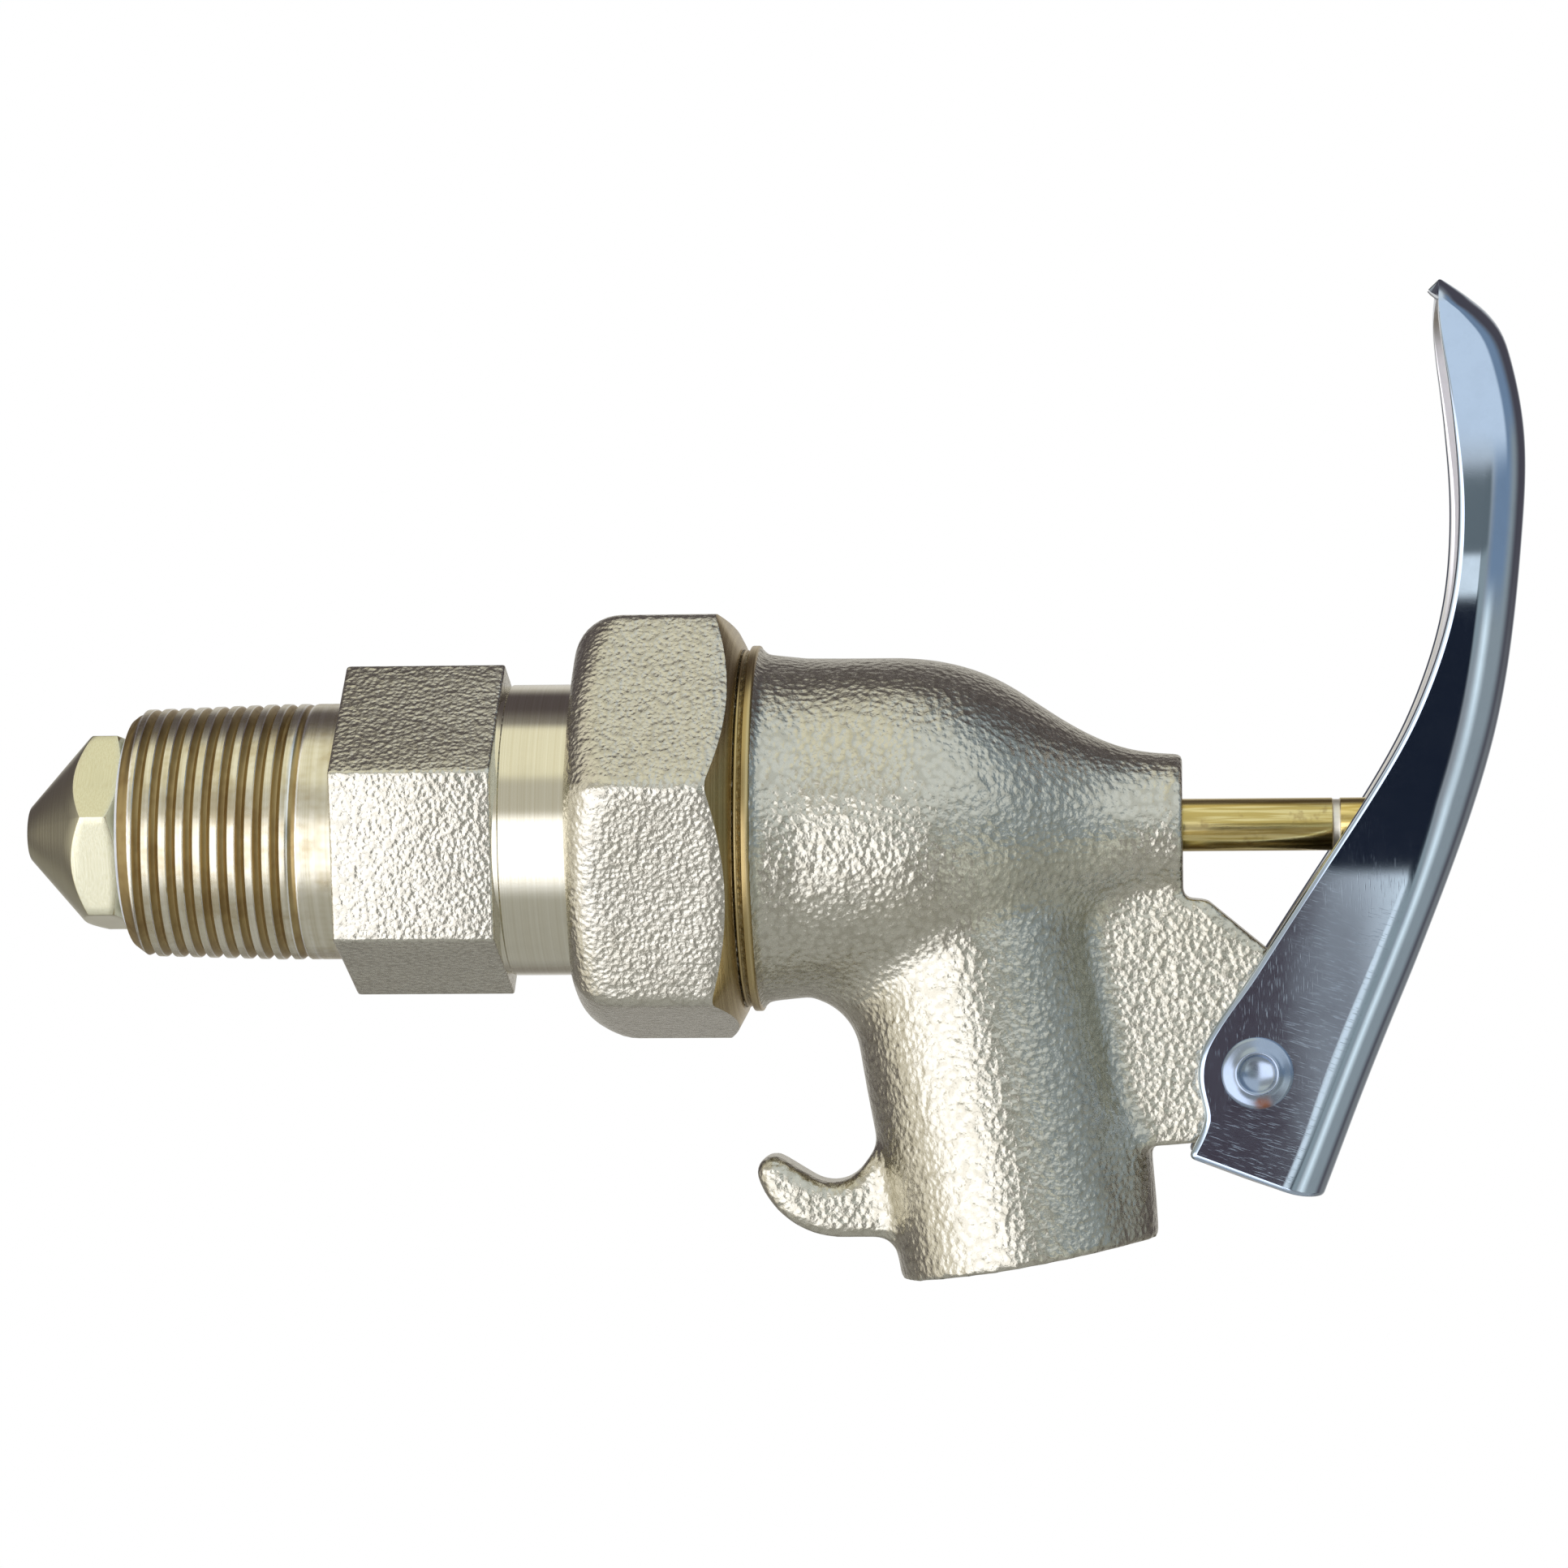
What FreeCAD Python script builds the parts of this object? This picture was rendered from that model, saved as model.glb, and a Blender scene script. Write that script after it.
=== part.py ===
import FreeCAD, Part
import math
import os

# Drum faucet: a swivel union inlet, a cast elbow body and a thumb lever that opens a self-closing poppet.
# Millimetres. +X runs along the inlet axis from the drum to the lever, and +Z is up.
# The origin is on that axis, in the plane where a hand-tight tapered thread meets the face of its socket.

# Inlet nipple: tapered pipe thread, wrench hex, barrel for the union nut and clamping flange
pipe_radius = 13.285
pipe_taper = 1.0 / 32.0
gauge_length = 8.61
nipple_end_chamfer = 1.25
shank_radius = 13.5
nipple_bore = 7.5
hex_start = 14.2
hex_length = 16.8
hex_turn = 20.6
hex_break = 0.5
barrel_length = 11.3
flange_step = 2.3
flange_thickness = 3.6
flange_edge_break = 0.4
shank_step = 1.0

# Union nut
nut_wall = 2.4
nut_turn = 11.2
nut_length = 17.9
nut_lip = 4.2
nut_shoulder_radius = 5.2
nut_chamfer_depth = 2.5
nut_chamfer_angle = 30.0
nut_hole_clearance = 0.2
nut_thread_clearance = 0.1
nut_mouth_break = 0.5

# Joint between the nipple flange and the body neck
gasket_thickness = 1.1
gasket_width = 7.2
gasket_edge_gap = 0.4

# Cast body: threaded neck, collar, round barrel and the shoulder that runs down to the stem boss
neck_radius = 18.2
neck_length = 9.9
flange_pass_gap = 0.6
collar_radius = 19.2
collar_width = 1.0
flare_radius = 18.3
flare_length = 4.6
body_radius = 17.75
body_straight = 9.0
shoulder_length = 30.2
shoulder_fullness = 15.5
boss_pull = 14.2
boss_radius = 7.45
cavity_radius = 13.0
cavity_straight = 18.0
cavity_dome = 17.0

# Spout, leaning away from the drum
spout_radius = 13.2
spout_bore = 10.2
spout_bore_length = 24.0
cored_radius = 10.8
spout_tilt = 10.0
spout_offset = 19.2
spout_drop = 45.1
crook_fillet = 6.5

# Pail hook on the drum side of the spout
hook_thickness = 7.6
hook_throat_radius = 3.9
hook_outer_radius = 9.3
hook_tip_radius = 1.75
hook_throat_rise = 12.0
hook_throat_reach = 18.04
hook_outer_shift = 1.0
hook_outer_fall = 0.4
hook_tip_turn = 199.0
hook_exit_turn = 325.0
hook_edge_radius = 1.5
hook_root_fillet = 2.4

# Lug that carries the lever
lug_thickness = 9.0
lug_drop = 7.6
lug_below_pivot = 7.6
lug_root_slope = 0.8
lug_toe = 3.4
lug_shoulder_reach = 5.2
lug_shoulder_rise = 9.4
lug_stop_length = 2.3
lug_heel_length = 2.5
lug_heel_fall = 0.2
lug_end_radius = 2.5
lug_root_fillet = 3.0

# Lever pivot, and the folded sheet lever: two walls and a web, closed over at the thumb end
pivot_reach = 7.5
pivot_drop = 25.6
lever_sheet = 1.5
lever_side_gap = 0.3
lever_stop_gap = 0.3
web_tilt = 21.7
web_offset = 11.1
web_corner_radius = 4.2
thumb_half_width = 9.8
thumb_tip_reach = 19.7
thumb_tip_height = 81.9
lever_tip_half_width = 3.2
lever_foot_slant = 18.0
lever_foot_reach = 7.1
lever_foot_drop = 8.8
lever_heel_reach = 5.5
lever_heel_height = 1.6
wall_slant_reach = 2.5
wall_slant_height = 7.2
wall_waist_swell = 0.6
web_straight = 20.0
wall_straight_reach = 12.6
wall_straight_height = 30.2
thumb_edge_step = 5.3
flare_foot = 17.0
flare_top = 55.0

# Bow of the thumb plate: share of the thumb's height and the web's reach past the tip, from the bottom up
thumb_bow = ((0.435, 5.2), (0.557, 6.9), (0.679, 7.9), (0.801, 8.2), (0.899, 6.9), (0.962, 4.2))
thumb_wall_depths = (9.3, 7.4, 7.6, 8.5)

# Lever rivet
rivet_shank_radius = 2.4
rivet_clearance = 0.08
rivet_wall_gap = 0.05
rivet_head_radius = 3.7
rivet_head_height = 1.1
rivet_cup_radius = 2.0
rivet_cup_depth = 1.5

# Valve stem, its poppet at the drum end and the spring gear inside the body
stem_radius = 2.75
stem_push_gap = 0.3
guide_clearance = 0.08
spigot_radius = 2.2
spigot_gap = 0.03
seal_thickness = 1.7
seal_radius = 9.0
seal_washer_radius = 6.0
seal_washer_thickness = 1.2
poppet_flats = 19.05
poppet_turn = 9.4
poppet_back_gap = 0.5
poppet_edge = 3.55
poppet_nose_radius = 2.7
poppet_nose_angle = 48.0
poppet_back_chamfer = 0.9
poppet_bore_depth = 6.4
stem_ring_reach = 15.7
stem_ring_width = 0.5
stem_ring_depth = 0.15

# Flame arrester and stem guide, stacked in the neck
screen_thickness = 0.6
screen_hole_radius = 1.25
screen_hole_pitch = 3.9
screen_stem_gap = 0.35
screen_edge_gap = 0.1
spacer_thickness = 2.0
spacer_wall = 1.6
spider_thickness = 2.8
spider_rim = 1.6
spider_hub_radius = 5.2
spider_arm_width = 2.4
spider_arms = 3
screen_radius = 14.3

# Closing spring, its seat and the clip that holds the seat on the stem
spring_length = 22.0
spring_radius = 4.2
spring_wire = 0.37
spring_wire_sides = 8
spring_turns = 8
spring_seat_radius = 5.6
spring_seat_thickness = 1.2
clip_thickness = 0.6
clip_radius = 4.4
clip_groove_radius = 2.2
clip_slot = 3.2

# Stem packing in the boss
packing_radius = 4.6
packing_depth = 9.7
packing_ring_thickness = 2.5
follower_thickness = 1.0
gland_length = 3.4
gland_slot_width = 1.2
gland_slot_depth = 1.2
packing_side_gap = 0.05

# Places along the inlet axis that follow from the sizes
inlet_face = -gauge_length
flange_radius = neck_radius - flange_pass_gap
barrel_radius = flange_radius - flange_step
hex_flats = 2 * barrel_radius
nut_flats = 2 * (neck_radius + nut_wall)
hex_end = hex_start + hex_length
flange_start = hex_end + barrel_length
flange_end = flange_start + flange_thickness
neck_start = flange_end + gasket_thickness
neck_end = neck_start + neck_length
collar_end = neck_end + collar_width
shoulder_start = collar_end + flare_length + body_straight
boss_end = shoulder_start + shoulder_length
spider_start = neck_start + 2 * screen_thickness + spacer_thickness
spider_end = spider_start + spider_thickness
spring_end = spider_end + spring_length
clip_start = spring_end + spring_seat_thickness
packing_start = boss_end - packing_depth
gland_start = packing_start + 2 * packing_ring_thickness + follower_thickness
stem_shoulder = inlet_face + seal_washer_thickness

# Spout, pivot and lever places
spout_x = collar_end + spout_offset
spout_lean = math.radians(spout_tilt)
pivot_x = boss_end + pivot_reach
pivot_z = -pivot_drop
web_lean = math.radians(web_tilt)
lever_inner_half = lug_thickness / 2 + lever_side_gap
lever_outer_half = lever_inner_half + lever_sheet
lug_reach = web_offset - lever_sheet - lever_stop_gap
channel_depth = 4 * thumb_half_width

X_AXIS = FreeCAD.Vector(1, 0, 0)
ORIGIN = FreeCAD.Vector(0, 0, 0)


def at(x, z, y=0.0):
    return FreeCAD.Vector(x, y, z)


def line(start, end):
    return Part.LineSegment(start, end).toShape()


def arc(start, middle, end):
    return Part.Arc(start, middle, end).toShape()


def curve(points):
    spline = Part.BSplineCurve()
    spline.interpolate(points)
    return spline.toShape()


def bezier(poles):
    shape = Part.BezierCurve()
    shape.setPoles(poles)
    return shape.toShape()


def outline(points):
    return [line(a, b) for a, b in zip(points, points[1:])]


def turned(points):
    """Solid of revolution about the inlet axis from (x, radius) corners."""
    corners = [at(x, r) for x, r in points]
    return turned_edges(outline(corners + corners[:1]))


def turned_edges(edges):
    return Part.Face(Part.Wire(edges)).revolve(ORIGIN, X_AXIS, 360)


def ring(start, end, inner, outer):
    return turned([(start, inner), (end, inner), (end, outer), (start, outer)])


def rod(start, end, radius):
    return Part.makeCylinder(radius, end - start, at(start, 0), X_AXIS)


def plate(edges, thickness):
    """Flat piece with its outline in the XZ plane, centred on that plane."""
    face = Part.Face(Part.Wire(edges))
    face.translate(at(0, 0, -thickness / 2))
    return face.extrude(at(0, 0, thickness))


def hexagon(start, end, flats, turn):
    """Hexagonal bar along the axis, turned by an angle from -Y towards +Z."""
    corner = flats / 2 / math.cos(math.pi / 6)
    points = []
    for k in range(7):
        angle = math.radians(turn + 60 * k)
        points.append(at(start, corner * math.sin(angle), -corner * math.cos(angle)))
    return Part.Face(Part.Wire(outline(points))).extrude(at(end - start, 0))


def cone_radius(x):
    return min(pipe_radius + pipe_taper * x, shank_radius)


def inlet_nipple():
    cone_end = (shank_radius - pipe_radius) / pipe_taper
    thread_start = inlet_face + nipple_end_chamfer
    lead = cone_radius(thread_start)
    body = turned([
        (inlet_face, 0),
        (inlet_face, lead - nipple_end_chamfer),
        (thread_start, lead),
        (cone_end, shank_radius),
        (hex_start + shank_step, shank_radius),
        (hex_start + shank_step, barrel_radius),
        (flange_start, barrel_radius),
        (flange_start, flange_radius),
        (flange_end - flange_edge_break, flange_radius),
        (flange_end, flange_radius - flange_edge_break),
        (flange_end, 0),
    ])
    corner = hex_flats / 2 / math.cos(math.pi / 6)
    limit = turned([
        (hex_start, 0),
        (hex_start, corner + 1),
        (hex_end - 2 * hex_break, corner + 1),
        (hex_end, corner - hex_break),
        (hex_end, 0),
    ])
    body = body.fuse(hexagon(hex_start, hex_end, hex_flats, hex_turn).common(limit))
    return body.cut(rod(inlet_face - 1, flange_end + 1, nipple_bore)).removeSplitter()


def union_nut():
    start = flange_start - nut_lip
    end = start + nut_length
    corner = nut_flats / 2 / math.cos(math.pi / 6)
    hole = barrel_radius + nut_hole_clearance
    bore = neck_radius + nut_thread_clearance
    shoulder = nut_shoulder_radius
    chamfer_fall = nut_chamfer_depth / math.tan(math.radians(nut_chamfer_angle))
    round_centre = corner - shoulder
    diagonal = shoulder * math.sqrt(0.5)
    edges = outline([at(start, 0), at(start, round_centre)])
    edges.append(arc(
        at(start, round_centre),
        at(start + shoulder - diagonal, round_centre + diagonal),
        at(start + shoulder, corner),
    ))
    edges += outline([
        at(start + shoulder, corner),
        at(end - nut_chamfer_depth, corner),
        at(end, corner - chamfer_fall),
        at(end, 0),
        at(start, 0),
    ])
    blank = hexagon(start, end, nut_flats, nut_turn).common(turned_edges(edges))
    blank = blank.cut(rod(start - 1, flange_start + 1, hole))
    inside = turned([
        (flange_start, 0),
        (flange_start, bore),
        (end - nut_mouth_break, bore),
        (end, bore + nut_mouth_break),
        (end + 1, bore + nut_mouth_break),
        (end + 1, 0),
    ])
    return blank.cut(inside).removeSplitter()


def union_gasket():
    edge = flange_radius - gasket_edge_gap
    return ring(flange_end, neck_start, edge - gasket_width, edge)


def spout_direction():
    return at(math.sin(spout_lean), -math.cos(spout_lean))


def spout_cylinder(radius, extra=0.0):
    length = spout_drop / math.cos(spout_lean) + extra
    return Part.makeCylinder(radius, length, at(spout_x, 0), spout_direction())


def casting_barrel():
    """Threaded neck, collar and barrel, with the shoulder curve down to the stem boss."""
    collar_break = 0.25
    flare_end = collar_end + flare_length
    edges = outline([
        at(neck_start, 0),
        at(neck_start, neck_radius),
        at(neck_end, neck_radius),
        at(neck_end, collar_radius),
        at(collar_end - collar_break, collar_radius),
        at(collar_end, collar_radius - collar_break),
        at(collar_end, flare_radius),
        at(flare_end, body_radius),
        at(shoulder_start, body_radius),
    ])
    edges.append(bezier([
        at(shoulder_start, body_radius),
        at(shoulder_start + shoulder_fullness, body_radius),
        at(boss_end - boss_pull, boss_radius),
        at(boss_end, boss_radius),
    ]))
    edges += outline([at(boss_end, boss_radius), at(boss_end, 0), at(neck_start, 0)])
    return turned_edges(edges)


def round_crook(body):
    """Cast fillet all round the root of the spout."""
    root = at(spout_x, 0)
    reach = spout_drop / math.cos(spout_lean)
    seams = []
    for edge in body.Edges:
        points = edge.discretize(9)
        on_wall = all(abs((p - root).cross(spout_direction()).Length - spout_radius) < 0.01 for p in points)
        above_mouth = all((p - root).dot(spout_direction()) < reach - 1 for p in points)
        if on_wall and above_mouth:
            seams.append(edge)
    return body.makeFillet(crook_fillet, seams)


def lug_blank():
    """Plate under the boss that the lever straddles, with a knuckle round the pivot."""
    inside_x = spout_x + spout_radius * 0.6
    knuckle = math.radians(45)
    far = at(pivot_x + lug_reach * math.cos(web_lean), pivot_z - lug_reach * math.sin(web_lean))
    near = at(pivot_x + lug_reach * math.cos(knuckle), pivot_z + lug_reach * math.sin(knuckle))
    middle = (knuckle - web_lean) / 2
    top = at(pivot_x + lug_reach * math.cos(middle), pivot_z + lug_reach * math.sin(middle))
    stop = far + at(-lug_stop_length * math.tan(web_lean), -lug_stop_length)
    bottom = pivot_z - lug_below_pivot
    edges = outline([
        far,
        stop,
        at(boss_end - lug_toe, bottom),
        at(inside_x, bottom - lug_root_slope),
        at(inside_x, -boss_radius * 0.5),
        at(boss_end, -boss_radius * 0.5),
        at(boss_end, -lug_drop),
        at(boss_end + lug_heel_length, -lug_drop - lug_heel_fall),
        at(pivot_x + lug_shoulder_reach, pivot_z + lug_shoulder_rise),
        near,
    ])
    edges.append(arc(near, top, far))
    lug = plate(edges, lug_thickness)
    end_edges = []
    for edge in lug.Edges:
        centre = edge.valueAt((edge.FirstParameter + edge.LastParameter) / 2)
        if edge.BoundBox.YLength < 1e-4 and centre.x > pivot_x + lug_shoulder_reach:
            end_edges.append(edge)
    return lug.makeFillet(lug_end_radius, end_edges)


def around(centre, radius, angle):
    return centre + at(radius * math.cos(angle), radius * math.sin(angle))


def hook_blank():
    """Curled hook for a pail's bail: a round tip, tangent to a deep outer curve and led into the throat."""
    throat_drop = spout_drop - hook_throat_rise
    axis_x = spout_x + throat_drop * math.tan(spout_lean)
    throat = at(axis_x - hook_throat_reach, -throat_drop)
    outer = throat + at(hook_outer_shift, -hook_outer_fall)
    tip_angle = math.radians(hook_tip_turn)
    heel_angle = math.radians(270)
    exit_angle = math.radians(hook_exit_turn)
    tip = around(outer, hook_outer_radius - hook_tip_radius, tip_angle)
    gap = throat - tip
    lead_angle = math.atan2(gap.z, gap.x)
    lead_angle -= math.asin((hook_tip_radius + hook_throat_radius) / gap.Length)
    tip_top = around(tip, hook_tip_radius, lead_angle + math.pi / 2)
    throat_left = around(throat, hook_throat_radius, lead_angle - math.pi / 2)
    throat_right = around(throat, hook_throat_radius, exit_angle)
    low_middle = (lead_angle - math.pi / 2 + exit_angle - 2 * math.pi) / 2
    heel = around(outer, hook_outer_radius, heel_angle)
    tip_side = around(outer, hook_outer_radius, tip_angle)
    inside = throat_right + at(-math.sin(exit_angle), math.cos(exit_angle)) * hook_throat_radius * 2
    edges = [
        line(tip_top, throat_left),
        arc(throat_left, around(throat, hook_throat_radius, low_middle), throat_right),
        line(throat_right, inside),
        line(inside, at(inside.x, heel.z)),
        line(at(inside.x, heel.z), heel),
        arc(heel, around(outer, hook_outer_radius, (heel_angle + tip_angle) / 2), tip_side),
        arc(tip_side, around(tip, hook_tip_radius, (tip_angle + lead_angle + math.pi / 2) / 2), tip_top),
    ]
    hook = plate(edges, hook_thickness)
    rims = [e for e in hook.Edges if e.BoundBox.YLength < 1e-4 and e.BoundBox.XLength > 0.01]
    return hook.makeFillet(hook_edge_radius, rims)


def seams(joined, one, other):
    """Edges of a joined solid that lie on the skins of both its parts."""
    found = []
    for edge in joined.Edges:
        span = edge.LastParameter - edge.FirstParameter
        spots = [Part.Vertex(edge.valueAt(edge.FirstParameter + span * share)) for share in (0.3, 0.5)]
        if all(skin.distToShape(spot)[0] < 1e-4 for skin in (one.Shells[0], other.Shells[0]) for spot in spots):
            found.append(edge)
    return found


def lug_roots(body):
    """Edges where the flat sides of the lug meet the spout and the boss."""
    found = []
    for edge in body.Edges:
        centre = edge.valueAt((edge.FirstParameter + edge.LastParameter) / 2)
        if centre.x < spout_x or abs(abs(centre.y) - lug_thickness / 2) > 1e-4:
            continue
        normals = []
        for face in body.ancestorsOfType(edge, Part.Face):
            u, v = face.Surface.parameter(centre)
            normals.append(abs(face.normalAt(u, v).y))
        if max(normals) > 0.999 and 0.02 < min(normals) < 0.98:
            found.append(edge)
    return found


def body_casting():
    body = casting_barrel().fuse(spout_cylinder(spout_radius)).removeSplitter()
    body = round_crook(body)
    body = body.fuse(lug_blank()).removeSplitter()
    body = body.makeFillet(lug_root_fillet, lug_roots(body))
    hook = hook_blank()
    joined = body.fuse(hook)
    body = joined.makeFillet(hook_root_fillet, seams(joined, body, hook))
    pivot_hole = cross_rod(rivet_shank_radius + rivet_clearance, -lug_thickness, lug_thickness)
    return body.cut(casting_hollow()).cut(pivot_hole)


def casting_hollow():
    """Flow passage, screen seat, stem guide and packing chamber."""
    guide = stem_radius + guide_clearance
    dome_start = spider_end + cavity_straight
    dome_end = dome_start + cavity_dome
    bulge = 0.5523
    edges = outline([
        at(neck_start - 1, 0),
        at(neck_start - 1, screen_radius),
        at(spider_end, screen_radius),
        at(spider_end, cavity_radius),
        at(dome_start, cavity_radius),
    ])
    edges.append(bezier([
        at(dome_start, cavity_radius),
        at(dome_start + bulge * cavity_dome, cavity_radius),
        at(dome_end, bulge * cavity_radius),
        at(dome_end, 0),
    ]))
    edges.append(line(at(dome_end, 0), at(neck_start - 1, 0)))
    hollow = turned_edges(edges)
    hollow = hollow.fuse(spout_cylinder(cored_radius, -spout_bore_length))
    hollow = hollow.fuse(spout_cylinder(spout_bore, spout_bore))
    hollow = hollow.fuse(rod(dome_end - 3, boss_end, guide))
    return hollow.fuse(rod(packing_start, boss_end + 1, packing_radius))


def guide_spider():
    """Three-armed brass guide: its hub steadies the stem and takes the spring."""
    rim = ring(spider_start, spider_end, screen_radius - screen_edge_gap - spider_rim,
               screen_radius - screen_edge_gap)
    hub = rod(spider_start, spider_end, spider_hub_radius)
    spider = rim.fuse(hub)
    arm_length = screen_radius - screen_edge_gap - spider_rim / 2
    for k in range(spider_arms):
        arm = Part.makeBox(spider_thickness, spider_arm_width, arm_length,
                           at(spider_start, 0, -spider_arm_width / 2))
        arm.rotate(ORIGIN, X_AXIS, 90 + 360 * k / spider_arms)
        spider = spider.fuse(arm)
    return spider.cut(rod(spider_start - 1, spider_end + 1, stem_radius + guide_clearance)).removeSplitter()


def arrester_screen(start):
    """Perforated disc on a triangular grid of holes, with a clear hole for the stem."""
    disc = ring(start, start + screen_thickness, stem_radius + screen_stem_gap,
                screen_radius - screen_edge_gap)
    inner_limit = stem_radius + screen_stem_gap + screen_hole_radius + 0.5
    outer_limit = screen_radius - screen_edge_gap - screen_hole_radius - 0.8
    rows = math.ceil(screen_radius / screen_hole_pitch) + 1
    drills = []
    for row in range(-rows, rows + 1):
        for column in range(-rows, rows + 1):
            y = (column + row / 2) * screen_hole_pitch
            z = row * screen_hole_pitch * math.sqrt(0.75)
            if inner_limit < math.hypot(y, z) < outer_limit:
                drills.append(Part.makeCylinder(screen_hole_radius, screen_thickness + 2,
                                                at(start - 1, z, y), X_AXIS))
    return disc.cut(Part.makeCompound(drills))


def screen_spacer():
    start = neck_start + screen_thickness
    outer = screen_radius - screen_edge_gap
    return ring(start, start + spacer_thickness, outer - spacer_wall, outer)


def packing_ring(start):
    """Soft ring with a shallow vee in its outer face, so that the gland spreads it."""
    inner = stem_radius + packing_side_gap
    outer = packing_radius - packing_side_gap
    vee = 0.35
    end = start + packing_ring_thickness
    middle = (inner + outer) / 2
    return turned([
        (start, inner),
        (start + vee, middle),
        (start, outer),
        (end, outer),
        (end + vee, middle),
        (end, inner),
    ])


def packing_follower():
    start = gland_start - follower_thickness
    inner = stem_radius + packing_side_gap
    outer = packing_radius - packing_side_gap
    vee = 0.35
    return turned([
        (start, inner),
        (start + vee, (inner + outer) / 2),
        (start, outer),
        (gland_start, outer),
        (gland_start, inner),
    ])


def gland_nut():
    """Threaded ring sunk in the boss, with a screwdriver slot across its face."""
    end = gland_start + gland_length
    ring_part = ring(gland_start, end, stem_radius + guide_clearance, packing_radius - packing_side_gap)
    slot = Part.makeBox(gland_slot_depth + 1, 4 * packing_radius, gland_slot_width,
                        at(end - gland_slot_depth, -gland_slot_width / 2, -2 * packing_radius))
    return ring_part.cut(slot)


def poppet_back():
    return inlet_face - poppet_back_gap


def poppet_nose():
    """Hexagonal nose, turned to a cone at the drum end, with a recess that holds the seal."""
    back = poppet_back()
    corner = poppet_flats / 2 / math.cos(math.pi / 6)
    cone_start = back - poppet_edge
    cone_length = (corner - poppet_nose_radius) / math.tan(math.radians(poppet_nose_angle))
    tip = cone_start - cone_length
    chamfer_fall = poppet_back_chamfer / math.tan(math.radians(30))
    limit = turned([
        (tip, 0),
        (tip, poppet_nose_radius),
        (cone_start, corner),
        (back - poppet_back_chamfer, corner),
        (back, corner - chamfer_fall),
        (back, 0),
    ])
    nose = hexagon(tip, back, poppet_flats, poppet_turn).common(limit)
    recess = rod(inlet_face - seal_thickness, back + 1, seal_radius)
    bore = rod(inlet_face - seal_thickness - poppet_bore_depth, back, spigot_radius + spigot_gap)
    return nose.cut(recess.fuse(bore)).removeSplitter()


def poppet_seal():
    return ring(inlet_face - seal_thickness, inlet_face, spigot_radius + spigot_gap, seal_radius)


def seal_washer():
    return ring(inlet_face, stem_shoulder, spigot_radius + spigot_gap, seal_washer_radius)


def stem_tip_centre():
    """Where the rounded stem end stands, just clear of the lever's web at rest."""
    reach = web_offset - lever_sheet - stem_radius - stem_push_gap
    return pivot_x + (reach + pivot_drop * math.sin(web_lean)) / math.cos(web_lean)


def valve_stem():
    spigot_end = inlet_face - seal_thickness - poppet_bore_depth + 0.4
    clip_end = clip_start + clip_thickness
    tip_centre = stem_tip_centre()
    tip = tip_centre + stem_radius
    ring_start = boss_end + stem_ring_reach
    ring_end = ring_start + stem_ring_width
    diagonal = stem_radius * math.sqrt(0.5)
    edges = outline([
        at(spigot_end, 0),
        at(spigot_end, spigot_radius),
        at(stem_shoulder, spigot_radius),
        at(stem_shoulder, stem_radius),
        at(clip_start, stem_radius),
        at(clip_start, clip_groove_radius),
        at(clip_end, clip_groove_radius),
        at(clip_end, stem_radius),
        at(ring_start, stem_radius),
        at(ring_start, stem_radius - stem_ring_depth),
        at(ring_end, stem_radius - stem_ring_depth),
        at(ring_end, stem_radius),
        at(tip_centre, stem_radius),
    ])
    edges.append(arc(at(tip_centre, stem_radius), at(tip_centre + diagonal, diagonal), at(tip, 0)))
    edges.append(line(at(tip, 0), at(spigot_end, 0)))
    return turned_edges(edges)


def spring_seat():
    return ring(spring_end, clip_start, stem_radius + guide_clearance, spring_seat_radius)


def retaining_clip():
    """Open clip that snaps into the stem's groove."""
    clip = ring(clip_start, clip_start + clip_thickness, clip_groove_radius, clip_radius)
    slot = Part.makeBox(clip_thickness + 2, clip_slot, clip_radius + 1,
                        at(clip_start - 1, 0, -clip_slot / 2))
    return clip.cut(slot)


def closing_spring():
    """Wire wound between the guide spider and the seat on the stem."""
    length = spring_length - 2 * spring_wire
    path = Part.makeHelix(length / spring_turns, length, spring_radius)
    corners = []
    for k in range(spring_wire_sides + 1):
        angle = 2 * math.pi * k / spring_wire_sides
        corners.append(at(spring_radius + spring_wire * math.cos(angle), spring_wire * math.sin(angle)))
    coil = Part.Wire(path.Edges).makePipeShell([Part.Wire(outline(corners))], True, True)
    coil.rotate(ORIGIN, FreeCAD.Vector(0, 1, 0), 90)
    coil.translate(at(spider_end + spring_wire, 0))
    return coil


def web_point(height):
    """Outer face of the lever's straight web at a height above the pivot."""
    reach = (web_offset + height * math.sin(web_lean)) / math.cos(web_lean)
    return from_pivot(reach, height)


def from_pivot(reach, height):
    return at(pivot_x + reach, pivot_z + height)


def bow_point(share, past_tip):
    return from_pivot(thumb_tip_reach + past_tip, share * thumb_tip_height)


def web_curve():
    """Side view of the web's outer face: straight past the pivot, bowed under the thumb, curled in at the tip."""
    straight = [web_point(web_straight * share) for share in (-1, -0.4, 0.3, 1)]
    bowed = [bow_point(share, past_tip) for share, past_tip in thumb_bow]
    spline = Part.BSplineCurve()
    spline.interpolate(straight + bowed + [bow_point(1, 0)])
    return spline


def lever_half_width(z):
    """Front view of the lever: narrow at the pivot, flared to the thumb and rounded off at the tip."""
    share = (z - pivot_z - flare_foot) / (flare_top - flare_foot)
    share = min(max(share, 0.0), 1.0)
    half = lever_outer_half + (thumb_half_width - lever_outer_half) * share * share * (3 - 2 * share)
    round_centre = pivot_z + thumb_tip_height - thumb_half_width
    if z > round_centre:
        half = math.sqrt(max(thumb_half_width ** 2 - (z - round_centre) ** 2, 0.0))
    return max(half, lever_tip_half_width)


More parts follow.
